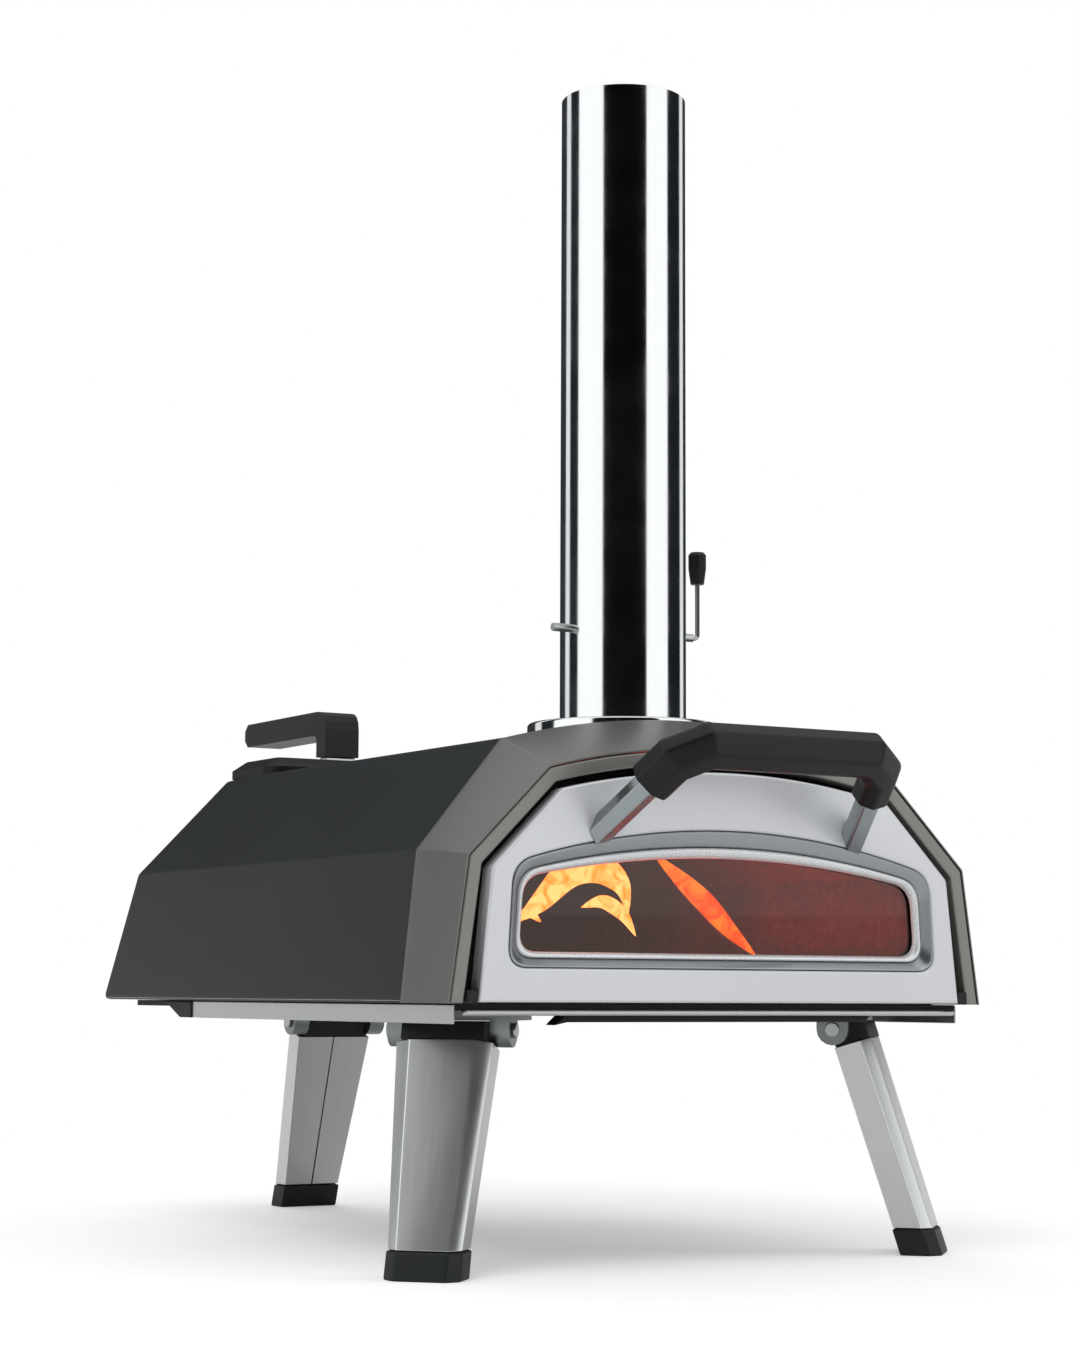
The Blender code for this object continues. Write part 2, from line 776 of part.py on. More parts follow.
def base_pan():
    """The black pan that the body stands on, open at the top."""
    outline = pan_outline()
    item = level_slab("base_pan", [outline], PAN_Z, PAN_Z + PAN_HEIGHT)
    pocket = inset_loop(outline, PAN_SHEET)
    tool = level_slab("base_pan_pocket", [pocket], PAN_Z + PAN_SHEET, BODY_Z + OVERRUN)
    boolean(item, as_cutter(tool, "base_pan_pocket"), "DIFFERENCE")
    finish(item, "base_pan", "black_steel")


def base_rail(name, side):
    """A bright side rail against the pan's edge."""
    inner = PAN_HALF + CLEAR
    ends = sorted((side * inner, side * (inner + RAIL_SHEET)))
    top = BODY_Z - RAIL_DROP
    front = RIM_Y + PAN_FRONT
    item = box((ends[0], front, top - RAIL_HEIGHT), (ends[1], front + RAIL_LENGTH, top))
    finish(item, name, "stainless")


def rail_cap(name, side):
    """The black slanted end piece behind a side rail."""
    top = BODY_Z - RAIL_DROP
    front = RIM_Y + PAN_FRONT + RAIL_LENGTH + CLEAR
    outline = [
        (front, top - RAIL_HEIGHT),
        (front + CAP_LENGTH_BOTTOM, top - RAIL_HEIGHT),
        (front + CAP_LENGTH_TOP, top),
        (front, top),
    ]
    middle = side * (PAN_HALF + CLEAR + CAP_WIDTH / 2)
    item = flat(name, [outline], CAP_WIDTH, placed_sideways(middle))
    finish(item, name, "black_plastic")


def base_lip():
    """The bright lip along the pan's front edge."""
    half = PAN_HALF - LIP_INSET
    rear = RIM_Y + PAN_FRONT - CLEAR
    top = PAN_Z + LIP_RISE
    item = box((-half, rear - LIP_DEPTH, top - LIP_HEIGHT), (half, rear, top))
    finish(item, "base_lip", "stainless")


def front_stiffener():
    """The black bar under the pan's front, slanted at one end and cut at the other."""
    top = PAN_Z - CLEAR
    low = top - STIFFENER_HEIGHT
    outline = [
        (-STIFFENER_HALF, low - STIFFENER_TIP),
        (-STIFFENER_HALF + STIFFENER_SLANT, top),
        (STIFFENER_HALF, top),
        (STIFFENER_HALF, low + STIFFENER_CHAMFER),
        (STIFFENER_HALF - STIFFENER_CHAMFER, low),
        (-STIFFENER_HALF + STIFFENER_SLANT, low),
    ]
    middle = RIM_Y + PAN_FRONT + STIFFENER_DEPTH / 2
    item = flat("front_stiffener", [outline], STIFFENER_DEPTH, placed_upright(middle))
    finish(item, "front_stiffener", "black_plastic")


FLOOR_HALF = HALF_BOTTOM - RETURN_FLANGE - FLOOR_SIDE_GAP
STONE_HALF = HALF_BOTTOM - LINER_GAP - SHEET - STONE_SIDE_GAP
STONE_FRONT_Y = RIM_Y + FLOOR_FRONT + STONE_FRONT_GAP
SUPPORT_Z = FLOOR_Z + FLOOR_THICKNESS + CLEAR
STONE_Z = SUPPORT_Z + SUPPORT_HEIGHT + CLEAR


def floor_insulation():
    """The insulating board that lies in the pan under the oven floor."""
    front = RIM_Y + FLOOR_FRONT
    outline = rectangle(-FLOOR_HALF, front, FLOOR_HALF, RIM_Y + FLOOR_REAR)
    item = level_slab("floor_insulation", [outline], FLOOR_Z, FLOOR_Z + FLOOR_THICKNESS)
    finish(item, "floor_insulation", "wool")


def stone_support():
    """The frame that holds the stone off the insulating board."""
    half = STONE_HALF - SUPPORT_INSET
    front = STONE_FRONT_Y + SUPPORT_INSET
    rear = STONE_FRONT_Y + STONE_DEPTH - SUPPORT_INSET
    outer = rectangle(-half, front, half, rear)
    inner = inset_loop(outer, SUPPORT_WIDTH)
    item = level_slab("stone_support", [outer, inner], SUPPORT_Z, SUPPORT_Z + SUPPORT_HEIGHT)
    finish(item, "stone_support", "dark_liner")


def baking_stone():
    """The loose stone that the food bakes on."""
    low = (-STONE_HALF, STONE_FRONT_Y, STONE_Z)
    high = (STONE_HALF, STONE_FRONT_Y + STONE_DEPTH, STONE_Z + STONE_THICKNESS)
    item = box(low, high)
    bevel(item, STONE_BEVEL, 1)
    finish(item, "baking_stone", "stone")


def behind_panel(z):
    """Depth just behind the raked rear panel at a height."""
    return rear_y(z) - PANEL_INSET + PANEL_SHEET + CLEAR


def hopper_row(z):
    """The hopper's three walls in plan, from its front left to its front right."""
    front = behind_panel(z)
    rear = RIM_Y + HOPPER_REAR
    plan = [(-HOPPER_HALF, front), (-HOPPER_HALF, rear), (HOPPER_HALF, rear), (HOPPER_HALF, front)]
    return [(x, y, z) for x, y in plan]


def hopper_walls():
    """The box behind the raked panel, with the tray's opening at its foot."""
    rows = [hopper_row(HOPPER_TOP_Z - CLEAR), hopper_row(TRAY_Z)]
    item = skin("hopper_walls", rows, SHEET, False)
    half = TRAY_HALF + TRAY_CLEAR
    top = TRAY_Z + TRAY_HEIGHT + TRAY_CLEAR
    rear = RIM_Y + HOPPER_REAR
    mouth = box((-half, rear - OVERRUN, PAN_Z), (half, rear + OVERRUN, top))
    boolean(item, as_cutter(mouth, "tray_mouth_cut"), "DIFFERENCE")
    finish(item, "hopper_walls", "black_steel")


def hopper_floor():
    """The sheet that the fuel tray slides on, which bridges the pan's rear edges."""
    front = RIM_Y + TRAY_FRONT
    outline = rectangle(-HOPPER_HALF, front, HOPPER_HALF, RIM_Y + HOPPER_REAR)
    item = level_slab("hopper_floor", [outline], BODY_Z, BODY_Z + SHEET)
    finish(item, "hopper_floor", "black_steel")


def hatch_ear(item, side):
    """Join one ear for the hatch's hinge pin to the hopper top."""
    inner = HATCH_KNUCKLE_HALF + CLEAR
    ends = sorted((side * inner, side * (inner + HATCH_EAR_THICKNESS)))
    low = HOPPER_TOP_Z + SHEET / 2
    ear = [(HATCH_AXIS_Y + HATCH_EAR_RADIUS, low)]
    for step in range(SMALL_SIDES // 2 + 1):
        turn = math.pi * step / (SMALL_SIDES // 2)
        across = HATCH_EAR_RADIUS * math.cos(turn)
        ear.append((HATCH_AXIS_Y + across, HATCH_AXIS_Z + HATCH_EAR_RADIUS * math.sin(turn)))
    ear.append((HATCH_AXIS_Y - HATCH_EAR_RADIUS, low))
    middle = (ends[0] + ends[1]) / 2
    tool = flat("hatch_ear", [ear], HATCH_EAR_THICKNESS, placed_sideways(middle))
    boolean(item, as_cutter(tool, "hatch_ear"), "UNION")


def hatch_bore(item):
    """Drill the way for the hatch's hinge pin."""
    reach = HATCH_KNUCKLE_HALF + HATCH_EAR_THICKNESS + OVERRUN
    bore = rod(
        (-reach, HATCH_AXIS_Y, HATCH_AXIS_Z),
        (reach, HATCH_AXIS_Y, HATCH_AXIS_Z),
        HATCH_PIN_RADIUS + CLEAR,
        SMALL_SIDES,
    )
    boolean(item, as_cutter(bore, item.name + "_pin_bore"), "DIFFERENCE")


def hopper_top():
    """The hopper's top sheet, with the filling throat and the hatch's two ears."""
    outline = rectangle(
        -HOPPER_HALF,
        behind_panel(HOPPER_TOP_Z),
        HOPPER_HALF,
        RIM_Y + HOPPER_REAR,
    )
    throat = rectangle(
        -THROAT_HALF,
        RIM_Y + THROAT_FRONT,
        THROAT_HALF,
        RIM_Y + THROAT_REAR,
    )
    item = level_slab("hopper_top", [outline, throat], HOPPER_TOP_Z, HOPPER_TOP_Z + SHEET)
    hatch_ear(item, -1)
    hatch_ear(item, 1)
    hatch_bore(item)
    finish(item, "hopper_top", "black_steel")


def hatch_hinge_pin():
    """The pin that the hatch turns on."""
    reach = HATCH_KNUCKLE_HALF + CLEAR + HATCH_EAR_THICKNESS
    item = rod(
        (-reach, HATCH_AXIS_Y, HATCH_AXIS_Z),
        (reach, HATCH_AXIS_Y, HATCH_AXIS_Z),
        HATCH_PIN_RADIUS,
        SMALL_SIDES,
    )
    finish(item, "hatch_hinge_pin", "stainless")


def hatch_lid():
    """The chamfered lid over the hopper's throat, with its hinge knuckle."""
    plan = rectangle(-LID_HALF, RIM_Y + LID_FRONT, LID_HALF, RIM_Y + LID_REAR)
    edge = rounded(plan, LID_CORNER, CORNER_STEPS, [])
    crown = inset_loop(edge, LID_CHAMFER)
    rings = [
        [(x, y, LID_Z) for x, y in edge],
        [(x, y, LID_Z + LID_EDGE) for x, y in edge],
        [(x, y, LID_TOP_Z) for x, y in crown],
    ]
    item = stack("hatch_lid", rings)
    knuckle = rod(
        (-HATCH_KNUCKLE_HALF, HATCH_AXIS_Y, HATCH_AXIS_Z),
        (HATCH_KNUCKLE_HALF, HATCH_AXIS_Y, HATCH_AXIS_Z),
        HATCH_PIN_RADIUS + CLEAR + HATCH_KNUCKLE_WALL,
        SMALL_SIDES,
    )
    boolean(item, as_cutter(knuckle, "hatch_knuckle"), "UNION")
    hatch_bore(item)
    finish(item, "hatch_lid", "stainless")


HANDLE_Z = LID_TOP_Z + CLEAR + FERRULE_HEIGHT + CLEAR
HANDLE_TOP_Z = LID_TOP_Z + HANDLE_RISE


def hatch_ferrule():
    """The bright foot under the hatch handle's post."""
    half = HANDLE_HALF - FERRULE_INSET
    front = RIM_Y + HANDLE_POST_FRONT
    outline = rectangle(
        -half,
        front + FERRULE_INSET,
        half,
        front + HANDLE_POST_LENGTH - FERRULE_INSET,
    )
    low = LID_TOP_Z + CLEAR
    item = level_slab("hatch_ferrule", [outline], low, low + FERRULE_HEIGHT)
    finish(item, "hatch_ferrule", "stainless")


def curved_corner(before, corner, after, cut):
    """The points of one curved corner of an outline."""
    return rounded([before, corner, after], cut, CORNER_STEPS, [0, 2])[1:-1]


def hatch_handle():
    """The black L-shaped handle: a post that curves into a bar that runs back."""
    front = RIM_Y + HANDLE_POST_FRONT
    behind = front + HANDLE_POST_LENGTH
    rear = RIM_Y + HANDLE_REAR
    under = HANDLE_TOP_Z - HANDLE_BAR_HEIGHT
    foot = (front, HANDLE_Z)
    tip = (rear - HANDLE_CHAMFER, HANDLE_TOP_Z)
    inner_foot = (behind, HANDLE_Z)
    inner_tip = (rear - HANDLE_CHAMFER, under)
    outline = [foot]
    outline += curved_corner(foot, (front, HANDLE_TOP_Z), tip, HANDLE_CORNER)
    outline += [
        tip,
        (rear, HANDLE_TOP_Z - HANDLE_CHAMFER),
        (rear, under + HANDLE_CHAMFER),
        inner_tip,
    ]
    outline += curved_corner(inner_tip, (behind, under), inner_foot, HANDLE_CHAMFER)
    outline.append(inner_foot)
    item = flat("hatch_handle", [outline], 2 * HANDLE_HALF, placed_sideways(0))
    finish(item, "hatch_handle", "black_plastic")


def fuel_tray():
    """The open tray that catches the fuel and slides out at the back."""
    front = RIM_Y + TRAY_FRONT
    rear = RIM_Y + HOPPER_REAR
    item = box((-TRAY_HALF, front, TRAY_Z), (TRAY_HALF, rear, TRAY_Z + TRAY_HEIGHT))
    inner = TRAY_HALF - TRAY_SHEET
    pocket = box(
        (-inner, front + TRAY_SHEET, TRAY_Z + TRAY_SHEET),
        (inner, rear - TRAY_SHEET, TRAY_Z + TRAY_HEIGHT + OVERRUN),
    )
    boolean(item, as_cutter(pocket, "fuel_tray_pocket"), "DIFFERENCE")
    finish(item, "fuel_tray", "stainless")


def fuel_grate():
    """The slotted grate that the fuel burns on, inside the tray."""
    half = TRAY_HALF - TRAY_SHEET - CLEAR
    front = RIM_Y + TRAY_FRONT + TRAY_SHEET + CLEAR
    rear = RIM_Y + HOPPER_REAR - TRAY_SHEET - CLEAR
    pitch = 2 * half / GRATE_SLOTS
    loops = [rectangle(-half, front, half, rear)]
    for slot in range(GRATE_SLOTS):
        middle = -half + pitch * (slot + 1 / 2)
        reach = pitch * GRATE_SLOT_SHARE / 2
        loops.append(rectangle(middle - reach, front + pitch / 2, middle + reach, rear - pitch / 2))
    low = TRAY_Z + GRATE_DROP
    item = level_slab("fuel_grate", loops, low, low + GRATE_THICKNESS)
    finish(item, "fuel_grate", "black_steel")


def tray_end():
    """The plate that closes the tray's opening, with a tab to pull it by."""
    front = RIM_Y + HOPPER_REAR + CLEAR
    half = TRAY_HALF + TRAY_END_LAP
    top = TRAY_Z + TRAY_HEIGHT + TRAY_END_LAP
    rear = front + TRAY_END_SHEET
    item = box((-half, front, TRAY_Z), (half, rear, top))
    middle = (TRAY_Z + top) / 2
    tab = box(
        (-PULL_HALF, front + TRAY_END_SHEET / 2, middle - PULL_THICKNESS / 2),
        (PULL_HALF, rear + PULL_REACH, middle + PULL_THICKNESS / 2),
    )
    boolean(item, as_cutter(tab, "tray_pull_tab"), "UNION")
    finish(item, "tray_end", "stainless")


def window_loop(half_bottom, bottom, lean, peak, radius):
    """A closed window outline: a flat foot, leaning sides and an arched top."""
    half_top = half_bottom - lean
    points = [(-half_bottom, bottom)]
    for step in range(ARC_POINTS + 1):
        x = half_top * (2 * step / ARC_POINTS - 1)
        points.append((x, arch_z(x, peak, radius)))
    points.append((half_bottom, bottom))
    return rounded(points, WINDOW_CORNER, CORNER_STEPS, range(2, ARC_POINTS + 1))


WINDOW_HALF = DOOR[-1][0] - WINDOW_SIDE
WINDOW_Z = DOOR[0][1] + WINDOW_RISE
BEZEL_LOOP = window_loop(
    WINDOW_HALF,
    WINDOW_Z,
    WINDOW_LEAN,
    DOOR_PEAK_Z - WINDOW_DROP,
    ARCH_RADIUS,
)
GLASS_LOOP = window_loop(
    WINDOW_HALF - BEZEL_WIDTH,
    WINDOW_Z + BEZEL_RISE,
    BEZEL_LEAN,
    DOOR_PEAK_Z - WINDOW_DROP - BEZEL_DROP,
    GLASS_ARCH_RADIUS,
)
GLASS_Y = DOOR_Y + BEZEL_DEPTH + CLEAR


def half_at(section, z):
    """Half-width of a section's lower side facet at a height."""
    foot = section[-1]
    shoulder = section[-2]
    share = (z - foot[1]) / (shoulder[1] - foot[1])
    return foot[0] + (shoulder[0] - foot[0]) * share


def door_panel():
    """The door's front panel, with its window opening and two hinge sockets."""
    opening = inset_loop(BEZEL_LOOP, -BEZEL_SHEET - CLEAR)
    middle = DOOR_Y + DOOR_DEPTH / 2
    item = flat("door_panel", [DOOR, opening], DOOR_DEPTH, placed_upright(middle))
    edge = half_at(DOOR, HINGE_Z)
    for side in (-1, 1):
        socket = rod(
            (side * (edge - HINGE_PIN_SOCKET - CLEAR), HINGE_AXIS_Y, HINGE_Z),
            (side * (edge + OVERRUN), HINGE_AXIS_Y, HINGE_Z),
            HINGE_PIN_RADIUS + CLEAR,
            SMALL_SIDES,
        )
        boolean(item, as_cutter(socket, "door_socket_cut"), "DIFFERENCE")
    finish(item, "door_panel", "door_silver")


def door_inner_skin():
    """The door's inner sheet, which clamps the glass."""
    outline = inset(DOOR, DOOR_SKIN_INSET, DOOR[0][1] + DOOR_SKIN_INSET)
    middle = DOOR_BACK_Y + CLEAR + SHEET / 2
    item = flat("door_inner_skin", [outline, GLASS_LOOP], SHEET, placed_upright(middle))
    finish(item, "door_inner_skin", "dark_liner")


def window_bezel():
    """The bezel that slopes in from the panel's face to the glass."""
    front = row_at(BEZEL_LOOP, DOOR_Y)
    rear = row_at(GLASS_LOOP, DOOR_Y + BEZEL_DEPTH - BEZEL_SHEET)
    item = skin("window_bezel", [rear, front], BEZEL_SHEET, True)
    finish(item, "window_bezel", "bezel_grey")


def door_glass():
    """The window pane between the bezel and the door's inner sheet."""
    outline = inset_loop(GLASS_LOOP, -GLASS_LAP)
    depth = DOOR_BACK_Y - GLASS_Y
    item = flat("door_glass", [outline], depth, placed_upright(GLASS_Y + depth / 2))
    finish(item, "door_glass", "glass")


def slide_to(points, direction, anchor, normal):
    """Points moved along one direction until they lie in a plane."""
    moved = []
    for point in points:
        travel = (Vector(anchor) - Vector(point)).dot(normal) / direction.dot(normal)
        moved.append(Vector(point) + direction * travel)
    return moved


def handle_path(side):
    """The middle line of one end of the handle: post foot, post head and bar end."""
    foot = Vector((side * POST_HALF_SPAN, DOOR_Y, DOOR_PEAK_Z - POST_DROP))
    head = Vector((side * BAR_HALF_SPAN, DOOR_Y - BAR_REACH, foot.z + BAR_RISE))
    return foot, head


def handle_post(name, side):
    """A six-sided bright post between the door and the grip."""
    foot, head = handle_path(side)
    along = (head - foot).normalized()
    across = along.cross(Vector((0, 0, 1))).normalized()
    up = across.cross(along)
    ring = []
    for step in range(POST_SIDES):
        turn = math.tau * step / POST_SIDES
        reach = across * math.cos(turn) + up * math.sin(turn)
        ring.append(foot + reach * (POST_WIDTH / 2))
    seat = Vector((0, DOOR_Y - CLEAR, 0))
    low = slide_to(ring, along, seat, Vector((0, 1, 0)))
    high = slide_to(ring, along, foot.lerp(head, POST_SHARE), along)
    finish(stack(name, [low, high]), name, "stainless")


def grip_section(head):
    """The grip's eight-sided section in the plane x = 0."""
    tall = GRIP_HEIGHT / 2
    deep = GRIP_DEPTH / 2
    chamfer = GRIP_DEPTH * GRIP_CHAMFER_SHARE
    corners = [
        (-deep, -tall + chamfer),
        (-deep, tall - chamfer),
        (-deep + chamfer, tall),
        (deep - chamfer, tall),
        (deep, tall - chamfer),
        (deep, -tall + chamfer),
        (deep - chamfer, -tall),
        (-deep + chamfer, -tall),
    ]
    return [Vector((0, head.y + y, head.z + z)) for y, z in corners]


def grip_rings(side):
    """The grip's rings from its bar end to where it meets one post."""
    foot, head = handle_path(side)
    outward = Vector((side, 0, 0))
    down = (foot - head).normalized()
    bar_end = head - outward * GRIP_CORNER
    post_end = head + down * GRIP_CORNER
    turn = (post_end - bar_end).normalized()
    first = slide_to(grip_section(head), outward, bar_end, (outward + turn).normalized())
    second = slide_to(first, turn, post_end, (turn + down).normalized())
    meeting = foot.lerp(head, POST_SHARE) - down * CLEAR
    third = slide_to(second, down, meeting, down)
    return [first, second, third]


def door_handle_grip():
    """The black grip: the bar and the upper half of both posts."""
    rings = grip_rings(-1)[::-1] + grip_rings(1)
    finish(stack("door_handle_grip", rings), "door_handle_grip", "black_plastic")


def door_hinge(name, side):
    """A lower corner bracket with the stub pin that the door turns on."""
    edge = half_at(DOOR, HINGE_Z)
    low = HINGE_Z - BRACKET_HEIGHT / 2
    outer = half_at(RIM_INNER, low + BRACKET_HEIGHT) - CLEAR
    ends = sorted((side * (DOOR[-1][0] + CLEAR), side * outer))
    item = box(
        (ends[0], HINGE_AXIS_Y - BRACKET_DEPTH / 2, low),
        (ends[1], HINGE_AXIS_Y + BRACKET_DEPTH / 2, low + BRACKET_HEIGHT),
    )
    pin = rod(
        (side * (edge - HINGE_PIN_SOCKET), HINGE_AXIS_Y, HINGE_Z),
        (side * (outer - SHEET), HINGE_AXIS_Y, HINGE_Z),
        HINGE_PIN_RADIUS,
        SMALL_SIDES,
    )
    boolean(item, as_cutter(pin, name + "_pin"), "UNION")
    finish(item, name, "stainless")


def chimney_collar():
    """The bright collar that seats the chimney on the arched crown."""
    top = PEAK_Z + COLLAR_RISE
    bore = SPIGOT_RADIUS + CLEAR
    low = arch_z(COLLAR_RADIUS, PEAK_Z, ARCH_RADIUS) - COLLAR_RISE
    profile = [
        (COLLAR_RADIUS - SHEET, top),
        (COLLAR_RADIUS, top - SHEET),
        (COLLAR_RADIUS, low),
        (bore, low),
        (bore, top),
    ]
    item = turned("chimney_collar", profile, Matrix.Translation((0, CHIMNEY_Y, 0)), ROUND_SIDES)
    crown = inset(SHELL, -CLEAR, BODY_Z)
    depth = 2 * (COLLAR_RADIUS + OVERRUN)
    block = flat("crown_block", [crown], depth, placed_upright(CHIMNEY_Y))
    boolean(item, as_cutter(block, "crown_block"), "DIFFERENCE")
    finish(item, "chimney_collar", "stainless")


def flue_spigot():
    """The tube that leads from the oven into the chimney."""
    low = LINER_PEAK_Z - SHEET - SPIGOT_BELOW
    profile = tube_profile(SPIGOT_RADIUS, SPIGOT_RADIUS - SHEET, low, CHIMNEY_Z + SPIGOT_ABOVE)
    place = Matrix.Translation((0, CHIMNEY_Y, 0))
    finish(turned("flue_spigot", profile, place, ROUND_SIDES), "flue_spigot", "stainless")


def chimney_tube():
    """The tall open chimney, drilled for the damper's axle."""
    profile = tube_profile(CHIMNEY_RADIUS, CHIMNEY_BORE, CHIMNEY_Z, CHIMNEY_TOP)
    place = Matrix.Translation((0, CHIMNEY_Y, 0))
    item = turned("chimney_tube", profile, place, ROUND_SIDES)
    reach = CHIMNEY_RADIUS + OVERRUN
    bore = rod(
        (-reach, CHIMNEY_Y, AXLE_Z),
        (reach, CHIMNEY_Y, AXLE_Z),
        AXLE_RADIUS + CLEAR,
        SMALL_SIDES,
    )
    boolean(item, as_cutter(bore, "damper_axle_bore"), "DIFFERENCE")
    finish(item, "chimney_tube", "stainless")


def damper_axle():
    """The rod that crosses the chimney and carries the damper's disc."""
    item = rod(
        (-AXLE_LEFT, CHIMNEY_Y, AXLE_Z),
        (AXLE_RIGHT, CHIMNEY_Y, AXLE_Z),
        AXLE_RADIUS,
        SMALL_SIDES,
    )
    bevel(item, AXLE_CHAMFER, 2)
    finish(item, "damper_axle", "stainless")


def damper_disc():
    """The damper's disc behind its axle, upright when the chimney is open."""
    low_y = CHIMNEY_Y + AXLE_RADIUS + CLEAR
    item = rod(
        (0, low_y, AXLE_Z),
        (0, low_y + DISC_THICKNESS, AXLE_Z),
        CHIMNEY_BORE - DISC_GAP,
        ROUND_SIDES,
    )
    finish(item, "damper_disc", "stainless")


def damper_wire():
    """The bent wire that rises from the axle's end to the knob."""
    start = AXLE_RIGHT + CLEAR
    bend = AXLE_RIGHT + WIRE_OUT
    near = WIRE_BEND * WIRE_BEND_SHARE
    route = [
        (start, AXLE_Z),
        (bend - WIRE_BEND, AXLE_Z),
        (bend - near, AXLE_Z + near),
        (bend, AXLE_Z + WIRE_BEND),
        (bend, AXLE_Z + WIRE_RISE),
    ]
    data = bpy.data.curves.new("damper_wire", "CURVE")
    data.dimensions = "3D"
    data.bevel_depth = WIRE_RADIUS
    data.bevel_resolution = 2
    data.use_fill_caps = True
    spline = data.splines.new("POLY")
    spline.points.add(len(route) - 1)
    for point, (x, z) in zip(spline.points, route):
        point.co = (x, CHIMNEY_Y, z, 1)
    curve = bpy.data.objects.new("damper_wire", data)
    bpy.context.scene.collection.objects.link(curve)
    bpy.context.view_layer.update()
    finish(meshed(curve), "damper_wire", "stainless")


def damper_knob():
    """The black knob on the damper's wire."""
    low = AXLE_Z + WIRE_RISE + CLEAR
    top = low + KNOB_HEIGHT
    waist = KNOB_RADIUS * KNOB_END_SHARE
    profile = [
        (0, top),
        (waist, top),
        (KNOB_RADIUS, top - KNOB_EDGE),
        (KNOB_RADIUS, top - KNOB_HEIGHT / 2),
        (waist, low),
        (0, low),
    ]
    place = Matrix.Translation((AXLE_RIGHT + WIRE_OUT, CHIMNEY_Y, 0))
    finish(turned("damper_knob", profile, place, SMALL_SIDES), "damper_knob", "black_plastic")


LEG_INNER = -LEG_PIVOT_INSET
LEG_OUTER = LEG_INNER + LEG_DEPTH
PLATE_UNDER_Z = PAN_Z - CLEAR - BRACKET_PLATE
LEG_HEAD = PLATE_UNDER_Z - LEG_PIVOT_Z - CLEAR
EAR_INNER = BLOCK_HALF + CLEAR
EAR_OUTER = EAR_INNER + EAR_THICKNESS


def leg_frame(pivot, outward, splay):
    """A leg's frame at its pivot: X along the hinge, Y out of its face, Z down it."""
    out = Vector(outward).normalized()
    hinge = Vector((-out.y, out.x, 0))
    face = out * math.cos(splay) + Vector((0, 0, math.sin(splay)))
    down = hinge.cross(face)
    turn = Matrix((hinge, face, down)).transposed().to_4x4()
    return Matrix.Translation(pivot) @ turn


def leg_down(w, z):
    """Distance down a leg at which a point on one of its faces has a height."""
    return (LEG_PIVOT_Z - z + w * math.sin(LEG_SPLAY)) / math.cos(LEG_SPLAY)


def leg_hexagon(half, face):
    """A leg's outline across its length, from its inner left corner."""
    return [
        (-half, LEG_INNER),
        (-half, LEG_OUTER - LEG_BEVEL),
        (-face, LEG_OUTER),
        (face, LEG_OUTER),
        (half, LEG_OUTER - LEG_BEVEL),
        (half, LEG_INNER),
    ]


def leg_channel(name, frame):
    """The folded steel channel of a leg, its two edges meeting along the inner face."""
    seam = LEG_SEAM / 2
    edges = [(-seam, LEG_INNER)], [(seam, LEG_INNER)]
    top = edges[0] + leg_hexagon(LEG_HALF_TOP, LEG_FACE_TOP) + edges[1]
    foot = edges[0] + leg_hexagon(LEG_HALF_FOOT, LEG_FACE_FOOT) + edges[1]
    seat = FOOT_HEIGHT + CLEAR + LEG_WALL * math.sin(LEG_SPLAY)
    rows = [
        [(u, w, leg_down(w, seat)) for u, w in foot],
        [(u, w, LEG_START) for u, w in top],
    ]
    item = skin(name, rows, LEG_WALL, False)
    item.matrix_world = frame
    finish(item, name, "stainless")


def leg_foot(name, frame):
    """The black foot, flat on the ground, with a plug that fills the channel's end."""
    hexagon = leg_hexagon(LEG_HALF_FOOT, LEG_FACE_FOOT)
    shoe = inset_loop(hexagon, -FOOT_LIP)
    plug = inset_loop(hexagon, LEG_WALL + CLEAR + CLEAR)
    rings = [
        [(u, w, leg_down(w, 0)) for u, w in shoe],
        [(u, w, leg_down(w, FOOT_HEIGHT)) for u, w in shoe],
        [(u, w, leg_down(w, FOOT_HEIGHT)) for u, w in plug],
        [(u, w, leg_down(w, FOOT_HEIGHT + FOOT_PLUG)) for u, w in plug],
    ]
    item = stack(name, rings)
    item.matrix_world = frame
    finish(item, name, "black_plastic")


def leg_block(name, frame):
    """The black block in a leg's head, rounded to turn under the base."""
    inner = LEG_INNER + CLEAR
    outer = LEG_OUTER - CLEAR
    start = math.asin(-inner / LEG_HEAD)
    outline = []
    for step in range(CORNER_STEPS + 1):
        turn = start - (start + LEG_SPLAY) * step / CORNER_STEPS
        outline.append((-LEG_HEAD * math.sin(turn), -LEG_HEAD * math.cos(turn)))
    shoulder = LEG_START - CLEAR
    plug_in = LEG_INNER + LEG_WALL + CLEAR
    plug_out = LEG_INNER + BLOCK_PLUG_DEPTH
    outline += [
        (outer, leg_down(outer, LEG_PIVOT_Z + LEG_HEAD)),
        (outer, shoulder),
        (plug_out, shoulder),
        (plug_out, shoulder + BLOCK_PLUG),
        (plug_in, shoulder + BLOCK_PLUG),
        (plug_in, shoulder),
        (inner, shoulder),
    ]
    item = flat(name, [outline], 2 * BLOCK_HALF, frame @ placed_sideways(0))
    boolean(item, bolt_bore(name, frame), "DIFFERENCE")
    finish(item, name, "black_plastic")


def bolt_bore(name, frame):
    """A cutter for the pivot bolt's way, along the hinge."""
    reach = Vector((EAR_OUTER + OVERRUN, 0, 0))
    bore = rod(frame @ -reach, frame @ reach, BOLT_RADIUS + CLEAR, SMALL_SIDES)
    return as_cutter(bore, name + "_bolt_bore")


